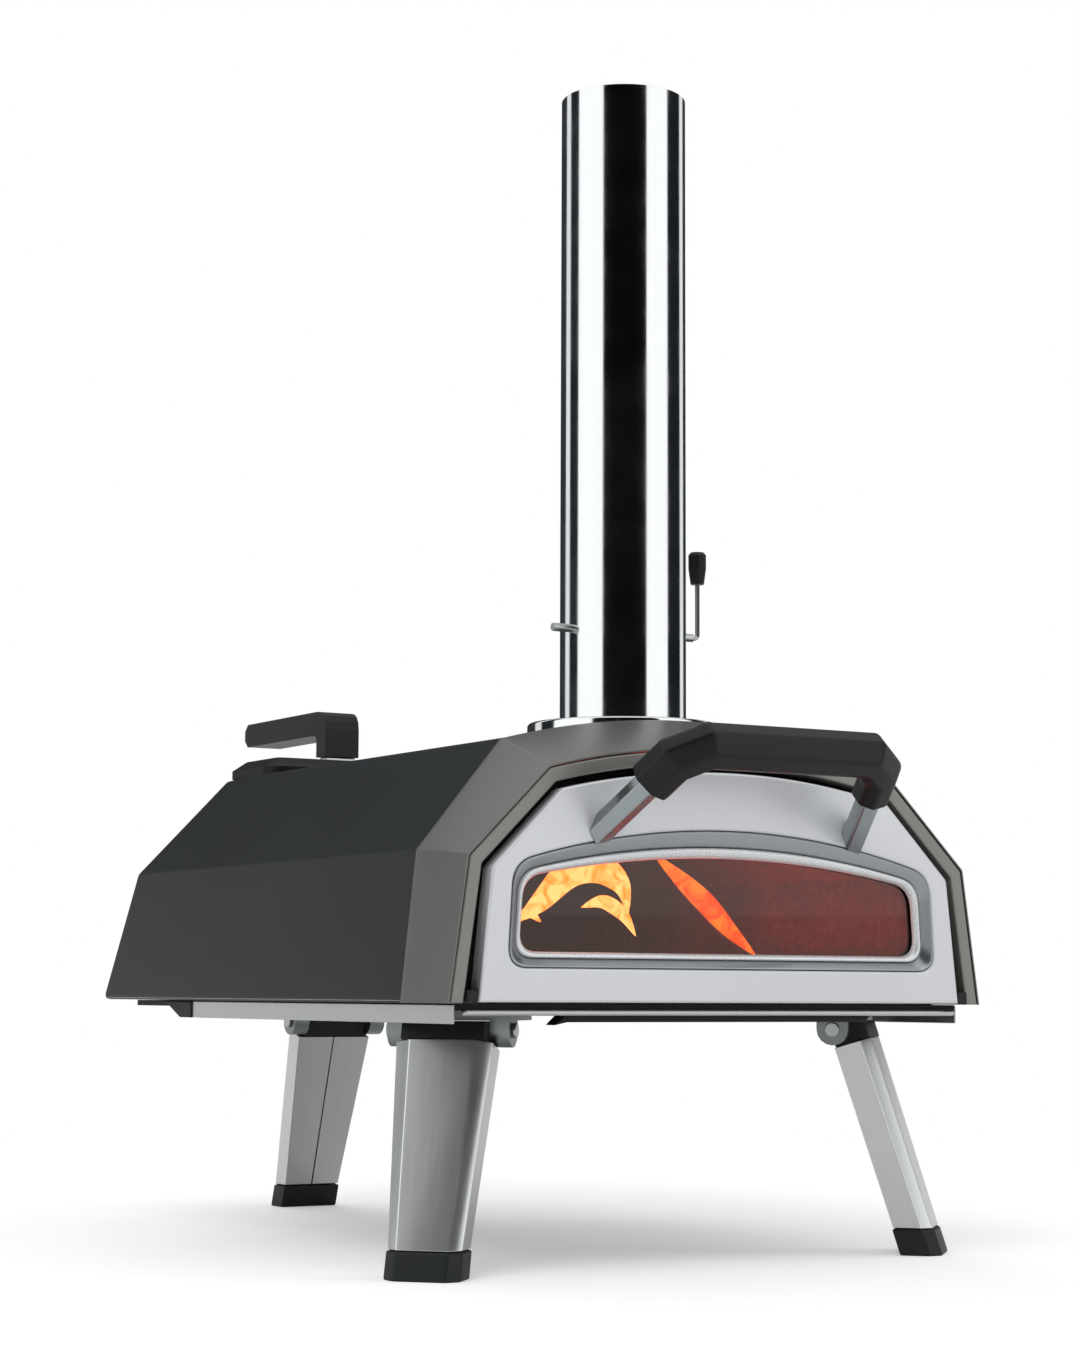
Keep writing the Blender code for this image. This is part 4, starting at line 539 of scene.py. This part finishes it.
FINISH_OF = {
    "outer_shell": charcoal_coat, "front_hood": hood_coat, "front_rim": rim_coat,
    "door_frame": black_sheet, "door_gasket": seal_braid, "inner_liner": browned_liner,
    "insulation_blanket": ceramic_wool, "rear_panel": black_paint, "base_pan": black_paint,
    "left_base_rail": level_steel, "right_base_rail": level_steel,
    "left_rail_cap": foot_nylon, "right_rail_cap": foot_nylon, "base_lip": cross_steel,
    "front_stiffener": black_paint, "floor_insulation": ceramic_wool,
    "stone_support": browned_liner, "baking_stone": cordierite,
    "hopper_walls": black_paint, "hopper_floor": black_sheet, "hopper_top": black_paint,
    "hatch_hinge_pin": satin_steel, "chimney_collar": mirror_steel,
    "flue_spigot": post_steel, "left_door_hinge": black_sheet,
    "right_door_hinge": black_sheet, "door_panel": door_coat,
    "door_inner_skin": browned_liner, "window_bezel": bezel_coat,
    "door_glass": window_glass, "left_handle_post": post_steel,
    "right_handle_post": post_steel, "door_handle_grip": grip_nylon,
    "hatch_lid": black_paint, "hatch_ferrule": satin_steel, "hatch_handle": grip_nylon,
    "fuel_tray": post_steel, "fuel_grate": cast_iron, "tray_end": level_steel,
    "chimney_tube": mirror_steel, "damper_axle": satin_steel, "damper_disc": post_steel,
    "damper_wire": satin_steel, "damper_knob": grip_nylon,
}
for leg, steel in leg_finish.items():
    FINISH_OF[leg + "_leg"] = steel
    FINISH_OF[leg + "_leg_block"] = foot_nylon
    FINISH_OF[leg + "_foot"] = foot_nylon
    FINISH_OF[leg + "_leg_bracket"] = bracket_steel
    FINISH_OF[leg + "_leg_bolt"] = satin_steel
for node, item in frame["nodes"].items():
    item.data.materials.clear()
    item.data.materials.append(FINISH_OF[node])
print("finishes on", len(frame["nodes"]), "pieces")

# %% [markdown]
# Real edges are never quite sharp, and a thin highlight along each edge is most of what
# makes metal look like metal. A loose copy of the frame's solid is welded, its triangles
# are joined back into flat faces, and a Bevel rounds what is left of its edges. The result
# is turned into a plain mesh, with no modifiers left on it.

# %% Rounded copies
WELD = 0.00001
EDGE_STEPS = 3
FLAT_TURN = math.radians(0.6)
EDGE_TURN = 40
GRIP_TURN = 25


def settled(piece):
    """The same piece with its modifiers worked out into a plain mesh."""
    bpy.context.view_layer.update()
    depsgraph = bpy.context.evaluated_depsgraph_get()
    mesh = bpy.data.meshes.new_from_object(piece.evaluated_get(depsgraph))
    piece.modifiers.clear()
    piece.data = mesh
    return piece


def new_piece(name, shape, finish):
    """An object from an edit mesh, smooth and with its finish."""
    mesh = bpy.data.meshes.new(name)
    shape.to_mesh(mesh)
    shape.free()
    mesh.materials.append(finish)
    mesh.shade_smooth()
    piece = bpy.data.objects.new(name, mesh)
    bpy.context.scene.collection.objects.link(piece)
    return piece


def round_edges(piece, radius, sharper_than=EDGE_TURN):
    """Rounds the edges that turn by more than an angle, and keeps flat faces flat."""
    step = piece.modifiers.new("round_edges", "BEVEL")
    step.width = radius
    step.segments = EDGE_STEPS
    step.limit_method = "ANGLE"
    step.angle_limit = math.radians(sharper_than)
    step.use_clamp_overlap = True
    flat = piece.modifiers.new("keep_flat", "WEIGHTED_NORMAL")
    flat.mode = "FACE_AREA"
    flat.weight = 100
    return settled(piece)


def stands_for(piece, *nodes):
    """The piece rides on the body of the nodes that it stands for."""
    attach(piece, frame["nodes"][nodes[0]]["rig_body"])
    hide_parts(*nodes)
    return piece


def rounded_copy(node, radius, sharper_than):
    """A frame's solid with welded, rounded edges, standing for it."""
    shape = bmesh.new()
    shape.from_mesh(frame["nodes"][node].data)
    bmesh.ops.remove_doubles(shape, verts=shape.verts, dist=WELD)
    bmesh.ops.dissolve_limit(
        shape, angle_limit=FLAT_TURN, verts=shape.verts, edges=shape.edges)
    piece = new_piece(node + "_rounded", shape, FINISH_OF[node])
    return stands_for(round_edges(piece, radius, sharper_than), node)


EDGE_RADIUS = {
    "left_base_rail": 0.0005, "right_base_rail": 0.0005, "left_rail_cap": 0.0008,
    "right_rail_cap": 0.0008, "base_lip": 0.0014, "front_stiffener": 0.0016,
    "baking_stone": 0.0008, "left_door_hinge": 0.0009, "right_door_hinge": 0.0009,
    "door_glass": 0.0006, "left_handle_post": 0.0008, "right_handle_post": 0.0008,
    "door_handle_grip": 0.0020, "hatch_ferrule": 0.0010, "chimney_collar": 0.0009,
    "damper_disc": 0.0003, "damper_axle": 0.0002, "tray_end": 0.0004,
    "hatch_lid": 0.0012, "door_gasket": 0.0022,
}
for leg in leg_steel:
    EDGE_RADIUS[leg + "_leg"] = 0.0008
    EDGE_RADIUS[leg + "_leg_block"] = 0.0012
    EDGE_RADIUS[leg + "_foot"] = 0.0014
    EDGE_RADIUS[leg + "_leg_bracket"] = 0.0009
    EDGE_RADIUS[leg + "_leg_bolt"] = 0.0006
for node, radius in EDGE_RADIUS.items():
    rounded_copy(node, radius, GRIP_TURN if node == "door_handle_grip" else EDGE_TURN)
print("rounded", len(EDGE_RADIUS), "pieces")

# %% [markdown]
# The body is bent from sheet: a straight foot, a shoulder, and an arched crown. Its section
# is drawn once as points, with the arch as forty short steps, and each bend is then rounded
# to the radius that a press brake leaves. The same section, moved in or out, gives the
# hood, the rim and the door, so all of them stay in step.

# %% The body's section
RIM_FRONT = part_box("front_rim")[0].y
BODY_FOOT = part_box("outer_shell")[0].z
SHEET = 0.0010
GAP = 0.0003
ARCH_RADIUS = 0.533
ARCH_STEPS = 40
BEND_STEPS = 6
BEND_FROM = math.radians(12)
SHELL_HALF_FOOT = 0.2038
SHELL_HALF_SHOULDER = 0.1937
SHELL_SHOULDER = 0.2565
SHELL_HALF_CROWN = 0.1360
SHELL_PEAK = 0.3440
HOOD_HALF_FOOT = 0.2000
HOOD_HALF_SHOULDER = 0.1873
HOOD_SHOULDER = 0.2525
HOOD_HALF_CROWN = 0.1313
HOOD_PEAK = 0.3241


def arch_height(x, peak, radius):
    """Height of an arc at a distance from its middle."""
    return peak - radius + math.sqrt(radius ** 2 - x ** 2)


def body_section(half_foot, half_shoulder, shoulder, half_crown, peak):
    """The section from its lower left to its lower right, as (x, z) points."""
    crown = []
    for step in range(ARCH_STEPS + 1):
        x = half_crown * (2 * step / ARCH_STEPS - 1)
        crown.append((x, arch_height(x, peak, ARCH_RADIUS)))
    left = [(-half_foot, BODY_FOOT), (-half_shoulder, shoulder)]
    return left + crown + [(half_shoulder, shoulder), (half_foot, BODY_FOOT)]


def edges_cross(before, corner, after, distance):
    """Where two edges cross once both have moved inwards."""
    first = (Vector(corner) - Vector(before)).normalized()
    second = (Vector(after) - Vector(corner)).normalized()
    first_side = Vector((first.y, -first.x))
    second_side = Vector((second.y, -second.x))
    middle = (first_side + second_side).normalized()
    return Vector(corner) + middle * (distance / middle.dot(first_side))


def moved_in(points, distance, foot):
    """An open section moved inwards, with both ends kept at the foot's height."""
    inner = [tuple(edges_cross(*three, distance)) for three in zip(points, points[1:], points[2:])]
    ends = []
    for end, near, sign in ((points[0], points[1], 1), (points[-1], points[-2], -1)):
        along = (Vector(near) - Vector(end)).normalized()
        across = end[0] + sign * distance / abs(along.y)
        ends.append((across + along.x / along.y * (foot - end[1]), foot))
    return [ends[0]] + inner + [ends[1]]


def bent(points, radius):
    """A section with each sharp bend turned into a smooth curve."""
    shaped = [points[0]]
    for before, corner, after in zip(points, points[1:], points[2:]):
        into = Vector(corner) - Vector(before)
        out = Vector(after) - Vector(corner)
        turn = into.angle(out)
        if turn < BEND_FROM:
            shaped.append(corner)
            continue
        reach = min(radius * math.tan(turn / 2), into.length * 0.45)
        far = min(reach, out.length * 0.9)
        start = Vector(corner) - into.normalized() * reach
        end = Vector(corner) + out.normalized() * far
        for step in range(BEND_STEPS + 1):
            share = step / BEND_STEPS
            near = start.lerp(Vector(corner), share)
            shaped.append(tuple(near.lerp(Vector(corner).lerp(end, share), share)))
    return shaped + [points[-1]]


shell_section = body_section(
    SHELL_HALF_FOOT, SHELL_HALF_SHOULDER, SHELL_SHOULDER, SHELL_HALF_CROWN, SHELL_PEAK)
hood_front_section = body_section(
    HOOD_HALF_FOOT, HOOD_HALF_SHOULDER, HOOD_SHOULDER, HOOD_HALF_CROWN, HOOD_PEAK)
print("section points", len(shell_section))

# %% [markdown]
# The outer shell is one charcoal sheet that runs from the hood back to a raked rear edge,
# with its lower edges folded under. It could be carved from a block, but a sheet is a
# surface first and a thickness second: the section is carried from the front to the rear as
# two rows of points, and Solidify gives it its millimetre. Bends of a few millimetres catch
# the soft light along each crease. A drill then opens the way for the flue.

# %% The outer shell
RAKE = math.radians(22.5)
HOOD_LENGTH = 0.0505
HOOD_LAP = 0.0040
SHELL_FRONT = RIM_FRONT + HOOD_LENGTH - HOOD_LAP + GAP
SHELL_REAR = RIM_FRONT + 0.5285
SHELL_BEND = 0.0050
FLANGE_WIDTH = 0.0240
FLANGE_HALF = SHELL_HALF_FOOT - FLANGE_WIDTH
FLUE_RADIUS = 0.0413
DRILL_FROM = 0.32
DRILL_TO = 0.36
CHIMNEY_LOW, CHIMNEY_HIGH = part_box("chimney_tube")
CHIMNEY_Y = (CHIMNEY_LOW.y + CHIMNEY_HIGH.y) / 2


def rear_edge(z):
    """Depth of the raked rear edge at a height."""
    return SHELL_REAR - (z - BODY_FOOT) * math.tan(RAKE)


def sheet(name, rows, finish, thickness, closed=False):
    """A sheet through rows of matching points, given its thickness inwards."""
    shape = bmesh.new()
    lines = [[shape.verts.new(point) for point in row] for row in rows]
    count = len(lines[0])
    for near, far in zip(lines, lines[1:]):
        for i in range(count if closed else count - 1):
            j = (i + 1) % count
            shape.faces.new((near[i], near[j], far[j], far[i]))
    piece = new_piece(name, shape, finish)
    wall = piece.modifiers.new("wall", "SOLIDIFY")
    wall.thickness = thickness
    wall.offset = -1
    wall.use_even_offset = True
    return settled(piece)


def drilled(piece, start, end, radius, sides=64):
    """Cuts a round hole from one point to another."""
    start, end = Vector(start), Vector(end)
    turn = (end - start).to_track_quat("Z", "Y").to_matrix().to_4x4()
    shape = bmesh.new()
    bmesh.ops.create_cone(
        shape, cap_ends=True, segments=sides, radius1=radius, radius2=radius,
        depth=(end - start).length, matrix=Matrix.Translation((start + end) / 2) @ turn)
    drill = new_piece("drill", shape, FINISH_OF["damper_axle"])
    cut = piece.modifiers.new("drilled", "BOOLEAN")
    cut.operation = "DIFFERENCE"
    cut.object = drill
    settled(piece)
    bpy.data.objects.remove(drill)
    return piece


def creased(piece, angle=35):
    """Keeps edges sharper than an angle crisp in the shading."""
    piece.data.set_sharp_from_angle(angle=math.radians(angle))
    return piece


folded = [(-FLANGE_HALF, BODY_FOOT)] + shell_section + [(FLANGE_HALF, BODY_FOOT)]
shell_line = bent(folded, SHELL_BEND)
shell_rows = [
    [(x, SHELL_FRONT, z) for x, z in shell_line],
    [(x, rear_edge(z), z) for x, z in shell_line],
]
shell = sheet("charcoal_shell", shell_rows, charcoal_coat, SHEET)
drilled(shell, (0, CHIMNEY_Y, DRILL_FROM), (0, CHIMNEY_Y, DRILL_TO), FLUE_RADIUS)
stands_for(creased(shell), "outer_shell")
print("shell faces", len(shell.data.polygons))

# %% [markdown]
# The hood is a separate grey sheet. It narrows from the shell to the rim, so its facets lean
# forward and each catches the light differently. Its wall is lofted as a closed loop at
# three depths: the rim, the place where it meets the shell, and its short lap over it.

# %% The front hood and the rim
HOOD_BEND = 0.0032
RIM_GAP = 0.0006
RIM_WIDTH = 0.0090
RIM_BEND = 0.0030
RIM_ROLL = 0.0012
RIM_TURN = 60


def lofted(name, rings, finish):
    """A closed solid through rings of matching points, both ends capped."""
    shape = bmesh.new()
    rows = [[shape.verts.new(point) for point in ring] for ring in rings]
    count = len(rows[0])
    for near, far in zip(rows, rows[1:]):
        for i in range(count):
            j = (i + 1) % count
            shape.faces.new((near[i], near[j], far[j], far[i]))
    for row in (rows[0], rows[-1]):
        half = count // 2
        for i in range(half - 1):
            shape.faces.new((row[i], row[i + 1], row[count - 2 - i], row[count - 1 - i]))
    bmesh.ops.recalc_face_normals(shape, faces=shape.faces)
    return new_piece(name, shape, finish)


def wall(section, thickness, radius):
    """A closed loop: the outer line of a bent sheet, then its inner line back."""
    outer = bent(section, radius)
    inner = bent(moved_in(section, thickness, BODY_FOOT), radius - thickness)
    return outer + inner[::-1]


def at_depth(section, y):
    """A section's points at one depth."""
    return [(x, y, z) for x, z in section]


hood_rear = wall(moved_in(shell_section, -SHEET - GAP, BODY_FOOT), SHEET, HOOD_BEND)
hood = lofted("grey_hood", [
    at_depth(wall(hood_front_section, SHEET, HOOD_BEND), RIM_FRONT),
    at_depth(hood_rear, RIM_FRONT + HOOD_LENGTH - HOOD_LAP),
    at_depth(hood_rear, RIM_FRONT + HOOD_LENGTH),
], hood_coat)
stands_for(creased(hood), "front_hood")

rim_outer = moved_in(hood_front_section, SHEET + RIM_GAP, BODY_FOOT)
rim_inner = moved_in(rim_outer, RIM_WIDTH, BODY_FOOT)
rim_loop = bent(rim_outer, RIM_BEND) + bent(rim_inner, RIM_BEND)[::-1]
rim_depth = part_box("front_rim")[1].y - RIM_FRONT
rim = lofted("door_rim", [
    at_depth(rim_loop, RIM_FRONT), at_depth(rim_loop, RIM_FRONT + rim_depth)], rim_coat)
stands_for(round_edges(rim, RIM_ROLL, RIM_TURN), "front_rim")
print("hood and rim made")

# %% [markdown]
# The door is pressed: its outer edge and the edge of its window roll back softly. A flat
# curve with a hole in it does this at once, because Blender rounds the rim of an extruded
# curve along every outline. It is drawn smaller by the radius of the roll, so that the
# finished panel keeps the frame's size.

# %% The door panel
DOOR_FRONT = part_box("door_panel")[0].y
DOOR_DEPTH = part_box("door_panel")[1].y - DOOR_FRONT
DOOR_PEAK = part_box("door_panel")[1].z
DOOR_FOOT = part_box("door_panel")[0].z
DOOR_FOOT_GAP = 0.0088
DOOR_SHOULDER_GAP = 0.0056
DOOR_SHOULDER_DROP = 0.0020
DOOR_CROWN_GAP = 0.0030
DOOR_BEND = 0.0060
DOOR_ROLL = 0.0016
WINDOW_CORNER = 0.0130
CORNER_STEPS = 8
WINDOW_SIDE = 0.0200
WINDOW_RISE = 0.0208
WINDOW_LEAN = 0.0037
WINDOW_DROP = 0.0368
PANE_SIDE = 0.0108
PANE_RISE = 0.0095
PANE_LEAN = 0.0032
PANE_DROP = 0.0537
PANE_ARCH = 0.720
BEZEL_GAP = 0.0003


def door_outline():
    """The door's outline, set in from the rim."""
    shoulder = rim_inner[-2]
    points = body_section(
        rim_inner[-1][0] - DOOR_FOOT_GAP,
        shoulder[0] - DOOR_SHOULDER_GAP,
        shoulder[1] - DOOR_SHOULDER_DROP,
        rim_inner[-3][0] - DOOR_CROWN_GAP,
        DOOR_PEAK,
    )
    return moved_in(points, 0, DOOR_FOOT)


def pressed_plate(name, loops, front, depth, roll, finish):
    """A plate in the plane of the door whose edges all roll back."""
    data = bpy.data.curves.new(name, "CURVE")
    data.dimensions = "2D"
    data.fill_mode = "BOTH"
    data.extrude = depth / 2 - roll
    data.bevel_depth = roll
    data.bevel_resolution = 4
    data.offset = -roll
    for loop in loops:
        spline = data.splines.new("POLY")
        spline.points.add(len(loop) - 1)
        spline.use_cyclic_u = True
        for point, (x, z) in zip(spline.points, loop):
            point.co = (x, z, 0, 1)
    curve = bpy.data.objects.new(name, data)
    bpy.context.scene.collection.objects.link(curve)
    bpy.context.view_layer.update()
    depsgraph = bpy.context.evaluated_depsgraph_get()
    mesh = bpy.data.meshes.new_from_object(curve.evaluated_get(depsgraph))
    bpy.data.objects.remove(curve)
    upright = Matrix.Rotation(math.radians(90), 4, "X")
    mesh.transform(Matrix.Translation((0, front + depth / 2, 0)) @ upright)
    shape = bmesh.new()
    shape.from_mesh(mesh)
    bmesh.ops.remove_doubles(shape, verts=shape.verts, dist=WELD)
    bmesh.ops.recalc_face_normals(shape, faces=shape.faces)
    piece = new_piece(name, shape, finish)
    flat = piece.modifiers.new("keep_flat", "WEIGHTED_NORMAL")
    flat.mode = "FACE_AREA"
    flat.weight = 100
    return settled(piece)


def window_outline(half_foot, foot, lean, peak, radius):
    """A closed window outline: a flat foot, leaning sides, an arched top, round corners."""
    half_top = half_foot - lean
    shoulder = arch_height(half_top, peak, radius)
    corner = WINDOW_CORNER
    inner = half_top - corner
    crown = []
    for step in range(ARCH_STEPS + 1):
        x = inner * (2 * step / ARCH_STEPS - 1)
        crown.append((x, arch_height(x, peak, radius)))
    side = Vector((half_top - half_foot, shoulder - foot)).normalized()
    corners = [
        ((-half_foot + corner, foot), (-half_foot, foot),
         (-half_foot + side.x * -corner, foot + side.y * corner)),
        ((-half_top + side.x * corner, shoulder - side.y * corner),
         (-half_top, shoulder), crown[0]),
    ]
    left = []
    for start, middle, end in corners:
        for step in range(CORNER_STEPS + 1):
            share = step / CORNER_STEPS
            near = Vector(start).lerp(Vector(middle), share)
            left.append(tuple(near.lerp(Vector(middle).lerp(Vector(end), share), share)))
    right = [(-x, z) for x, z in left[::-1]]
    return left + crown[1:-1] + right


def blended(first, second, share):
    """An outline part of the way from one to another of as many points."""
    return [
        (a[0] + (b[0] - a[0]) * share, a[1] + (b[1] - a[1]) * share)
        for a, b in zip(first, second)]


def grown(loop, distance):
    """A closed outline moved outwards by a distance."""
    count = len(loop)
    return [
        tuple(edges_cross(loop[i - 1], loop[i], loop[(i + 1) % count], -distance))
        for i in range(count)]


door_loop = bent(door_outline(), DOOR_BEND)
window_half = door_loop[-1][0] - WINDOW_SIDE
window_foot = DOOR_FOOT + WINDOW_RISE
bezel_loop = window_outline(
    window_half, window_foot, WINDOW_LEAN, DOOR_PEAK - WINDOW_DROP, ARCH_RADIUS)
glass_loop = window_outline(
    window_half - PANE_SIDE, window_foot + PANE_RISE, PANE_LEAN, DOOR_PEAK - PANE_DROP, PANE_ARCH)
opening = grown(bezel_loop, BEZEL_GAP)
door = pressed_plate(
    "silver_door", [door_loop, opening], DOOR_FRONT, DOOR_DEPTH, DOOR_ROLL, door_coat)
stands_for(door, "door_panel")
print("door faces", len(door.data.polygons))

# %% [markdown]
# The bezel leads the eye from the door's face down to the glass: a broad grey slope, a fine
# step, and a pale lip that holds the pane. Its loops are blends of the window's outline and
# the pane's, each at its own depth, so the slope is wide at the top and narrow at the foot
# as on the oven. The slope and the lip are two sheets, because they are finished apart.

# %% The bezel and its lip
BEZEL_SHEET = 0.0008
BEZEL_TURN = 60


def ring_of(name, steps, finish):
    """A sheet round the window through (share towards the glass, depth) steps."""
    rows = []
    for share, depth in steps[::-1]:
        loop = blended(bezel_loop, glass_loop, share)
        rows.append([(x, DOOR_FRONT + depth, z) for x, z in loop])
    return sheet(name, rows, finish, BEZEL_SHEET, closed=True)


slope = ring_of("bezel_slope", [
    (0.00, 0.0016), (0.01, 0.0008), (0.035, 0.0003), (0.07, 0.0002), (0.12, 0.0004),
    (0.50, 0.0044), (0.56, 0.0052), (0.59, 0.0060), (0.60, 0.0070)], bezel_coat)
lip = ring_of("bezel_lip", [
    (0.605, 0.0072), (0.61, 0.0054), (0.64, 0.0043), (0.70, 0.0038), (0.80, 0.0040),
    (0.88, 0.0047), (0.95, 0.0060), (0.985, 0.0072), (1.00, 0.0080)], lip_coat)
creased(slope, BEZEL_TURN)
creased(lip, BEZEL_TURN)
stands_for(slope, "window_bezel")
stands_for(lip, "window_bezel")
print("bezel loops of", len(bezel_loop), "points")

# %% [markdown]
# The chimney is one tall polished tube, rolled from sheet and welded up its back. A tube
# could come from a cylinder, but turning its profile gives the thin wall and the softened
# rims together, and enough sides keep the reflections straight. A low bead down the back
# stands for the weld.

# %% The chimney
def turned_piece(name, profile, finish, centre, sides=128):
    """A round piece: a closed (radius, height) profile turned about an upright axis."""
    shape = bmesh.new()
    rows = []
    for step in range(sides):
        angle = math.tau * step / sides
        rows.append([
            shape.verts.new((
                centre[0] + radius * math.cos(angle),
                centre[1] + radius * math.sin(angle),
                height))
            for radius, height in profile])
    count = len(profile)
    for step in range(sides):
        near, far = rows[step], rows[(step + 1) % sides]
        for i in range(count):
            j = (i + 1) % count
            shape.faces.new((near[i], far[i], far[j], near[j]))
    bmesh.ops.recalc_face_normals(shape, faces=shape.faces)
    return new_piece(name, shape, finish)


tube_low, tube_high = CHIMNEY_LOW.z, CHIMNEY_HIGH.z
tube_radius = (CHIMNEY_HIGH.x - CHIMNEY_LOW.x) / 2
tube_wall = 0.0010
soft = 0.0003
chimney = turned_piece("polished_chimney", [
    (tube_radius - soft, tube_low), (tube_radius, tube_low + soft),
    (tube_radius, tube_high - soft), (tube_radius - soft, tube_high),
    (tube_radius - tube_wall + soft, tube_high),
    (tube_radius - tube_wall, tube_high - soft),
    (tube_radius - tube_wall, tube_low + soft),
    (tube_radius - tube_wall + soft, tube_low),
], mirror_steel, (0, CHIMNEY_Y))
creased(chimney, 25)
stands_for(chimney, "chimney_tube")


BEAD_HALF = 0.0016
BEAD_RIPPLE = 0.0002
BEAD_RISE = 0.0004
BEAD_SINK = -0.0001
BEAD_MARGIN = 0.001
BEAD_STEPS = 220


def weld_bead():
    """A low half-round bead down the back of the chimney, with the ripple of a weld."""
    shape = bmesh.new()
    rows = []
    length = tube_high - tube_low - 2 * BEAD_MARGIN
    for step in range(BEAD_STEPS + 1):
        z = tube_low + BEAD_MARGIN + length * step / BEAD_STEPS
        width = BEAD_HALF + BEAD_RIPPLE * math.sin(step * 2.1)
        rows.append([
            shape.verts.new((width * x, CHIMNEY_Y + tube_radius + y, z))
            for x, y in ((-1, BEAD_SINK), (-0.5, BEAD_RISE), (0.5, BEAD_RISE), (1, BEAD_SINK))])
    for near, far in zip(rows, rows[1:]):
        for i in range(4):
            j = (i + 1) % 4
            shape.faces.new((near[i], near[j], far[j], far[i]))
    shape.faces.new(rows[0])
    shape.faces.new(rows[-1])
    bmesh.ops.recalc_face_normals(shape, faces=shape.faces)
    return new_piece("chimney_weld", shape, post_steel)


bead = weld_bead()
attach(bead, "chimney")
print("chimney", round(tube_high - tube_low, 4), "m tall")
# %% [markdown]
# A wood fire lights the window from within. Flames are light and not a part of the oven, so
# they ride on none of its bodies: thin ribbons that glow, drawn along short curves behind the
# glass and thinned to points. They stand a hand's breadth behind the rim, where they fill as much
# of the window as the real fire does. A volume would be truer but slow. A small warm lamp over
# the stone gives the liner its deep red-brown glow.

# %% The fire in the window
FIRE_DEPTH = RIM_FRONT + 0.100
FLAME_STEPS = 28
FLAME_TIP = 0.02
EMBER_SHADE = "ff3a10"
EMBER_PLACE = (0.03, RIM_FRONT + 0.19, 0.29)
EMBER_SIZE = 0.16
EMBER_POWER = 2.6


def flame_glow(name, outer, inner, strength):
    """Glowing gas: hotter in some patches and redder in others, by a noise."""
    made, tree, shader = new_finish(name)
    place = add_node(tree, "ShaderNodeTexCoord")
    lick = add_node(tree, "ShaderNodeTexNoise", values={
        "Scale": per_metre(14), "Detail": 3.0, "Distortion": 1.2}, links={
        "Vector": place.outputs["Object"]})
    heat = add_node(tree, "ShaderNodeMapRange", values={
        "From Min": 0.38, "From Max": 0.58}, links={"Value": lick.outputs["Fac"]})
    tint = add_node(tree, "ShaderNodeMix", {"data_type": "RGBA"}, {
        6: linear(outer), 7: linear(inner)}, {0: heat.outputs[0]})
    set_shader(shader, Base_Color=linear("000000"), Emission_Strength=strength, Roughness=1.0)
    link_shader(tree, shader, Emission_Color=tint.outputs[2])
    return made


def flame(name, spots, widest, depth, glow):
    """A ribbon through (x, z) points on an upright plane, thin at both ends."""
    knots = [Vector((x, z)) for x, z in spots]
    shape = bmesh.new()
    rows = []
    spans = len(knots) - 1
    for step in range(FLAME_STEPS + 1):
        along = spans * step / FLAME_STEPS
        span = min(int(along), spans - 1)
        share = along - span
        a, b = knots[max(span - 1, 0)], knots[span]
        c, d = knots[span + 1], knots[min(span + 2, spans)]
        middle = 0.5 * (2 * b + (c - a) * share + (2 * a - 5 * b + 4 * c - d) * share ** 2
                        + (3 * b - a - 3 * c + d) * share ** 3)
        heading = ((c - a).lerp(d - b, share)).normalized()
        swell = min(max(step / FLAME_STEPS, FLAME_TIP), 1 - FLAME_TIP)
        half = widest / 2 * math.sin(math.pi * swell)
        side = Vector((-heading.y, heading.x)) * half
        rows.append([
            shape.verts.new((p.x, depth, p.y)) for p in (middle - side, middle + side)])
    for near, far in zip(rows, rows[1:]):
        shape.faces.new((near[0], near[1], far[1], far[0]))
    new_piece(name, shape, glow)


bright_flame = flame_glow("bright_wood_flame", "ffb02a", "fffbe0", 4.2)
deep_flame = flame_glow("deep_wood_flame", "e06a10", "ffb648", 2.6)
flame("flame_crown", [
    (-0.096, 0.216), (-0.080, 0.228), (-0.056, 0.249), (-0.034, 0.252), (-0.016, 0.240),
    (-0.012, 0.222)], 0.022, FIRE_DEPTH, bright_flame)
flame("flame_foot", [
    (-0.098, 0.214), (-0.088, 0.222), (-0.078, 0.216)], 0.007, FIRE_DEPTH, bright_flame)
flame("flame_curl", [
    (-0.046, 0.226), (-0.030, 0.230), (-0.014, 0.222), (-0.004, 0.208)],
    0.010, FIRE_DEPTH + 0.003, bright_flame)
flame("flame_streak", [
    (0.008, 0.262), (0.028, 0.247), (0.050, 0.230), (0.070, 0.212), (0.090, 0.196)],
    0.015, FIRE_DEPTH, deep_flame)

ember_data = bpy.data.lights.new("ember_glow", "AREA")
ember_data.energy = EMBER_POWER
ember_data.size = EMBER_SIZE
ember_data.color = linear(EMBER_SHADE)[:3]
ember = bpy.data.objects.new("ember_glow", ember_data)
bpy.context.scene.collection.objects.link(ember)
ember.matrix_world = Matrix.Translation(EMBER_PLACE)
ember.visible_camera = False
ember.visible_glossy = False
ember.visible_transmission = False
print("fire lit at", round(FIRE_DEPTH, 4))
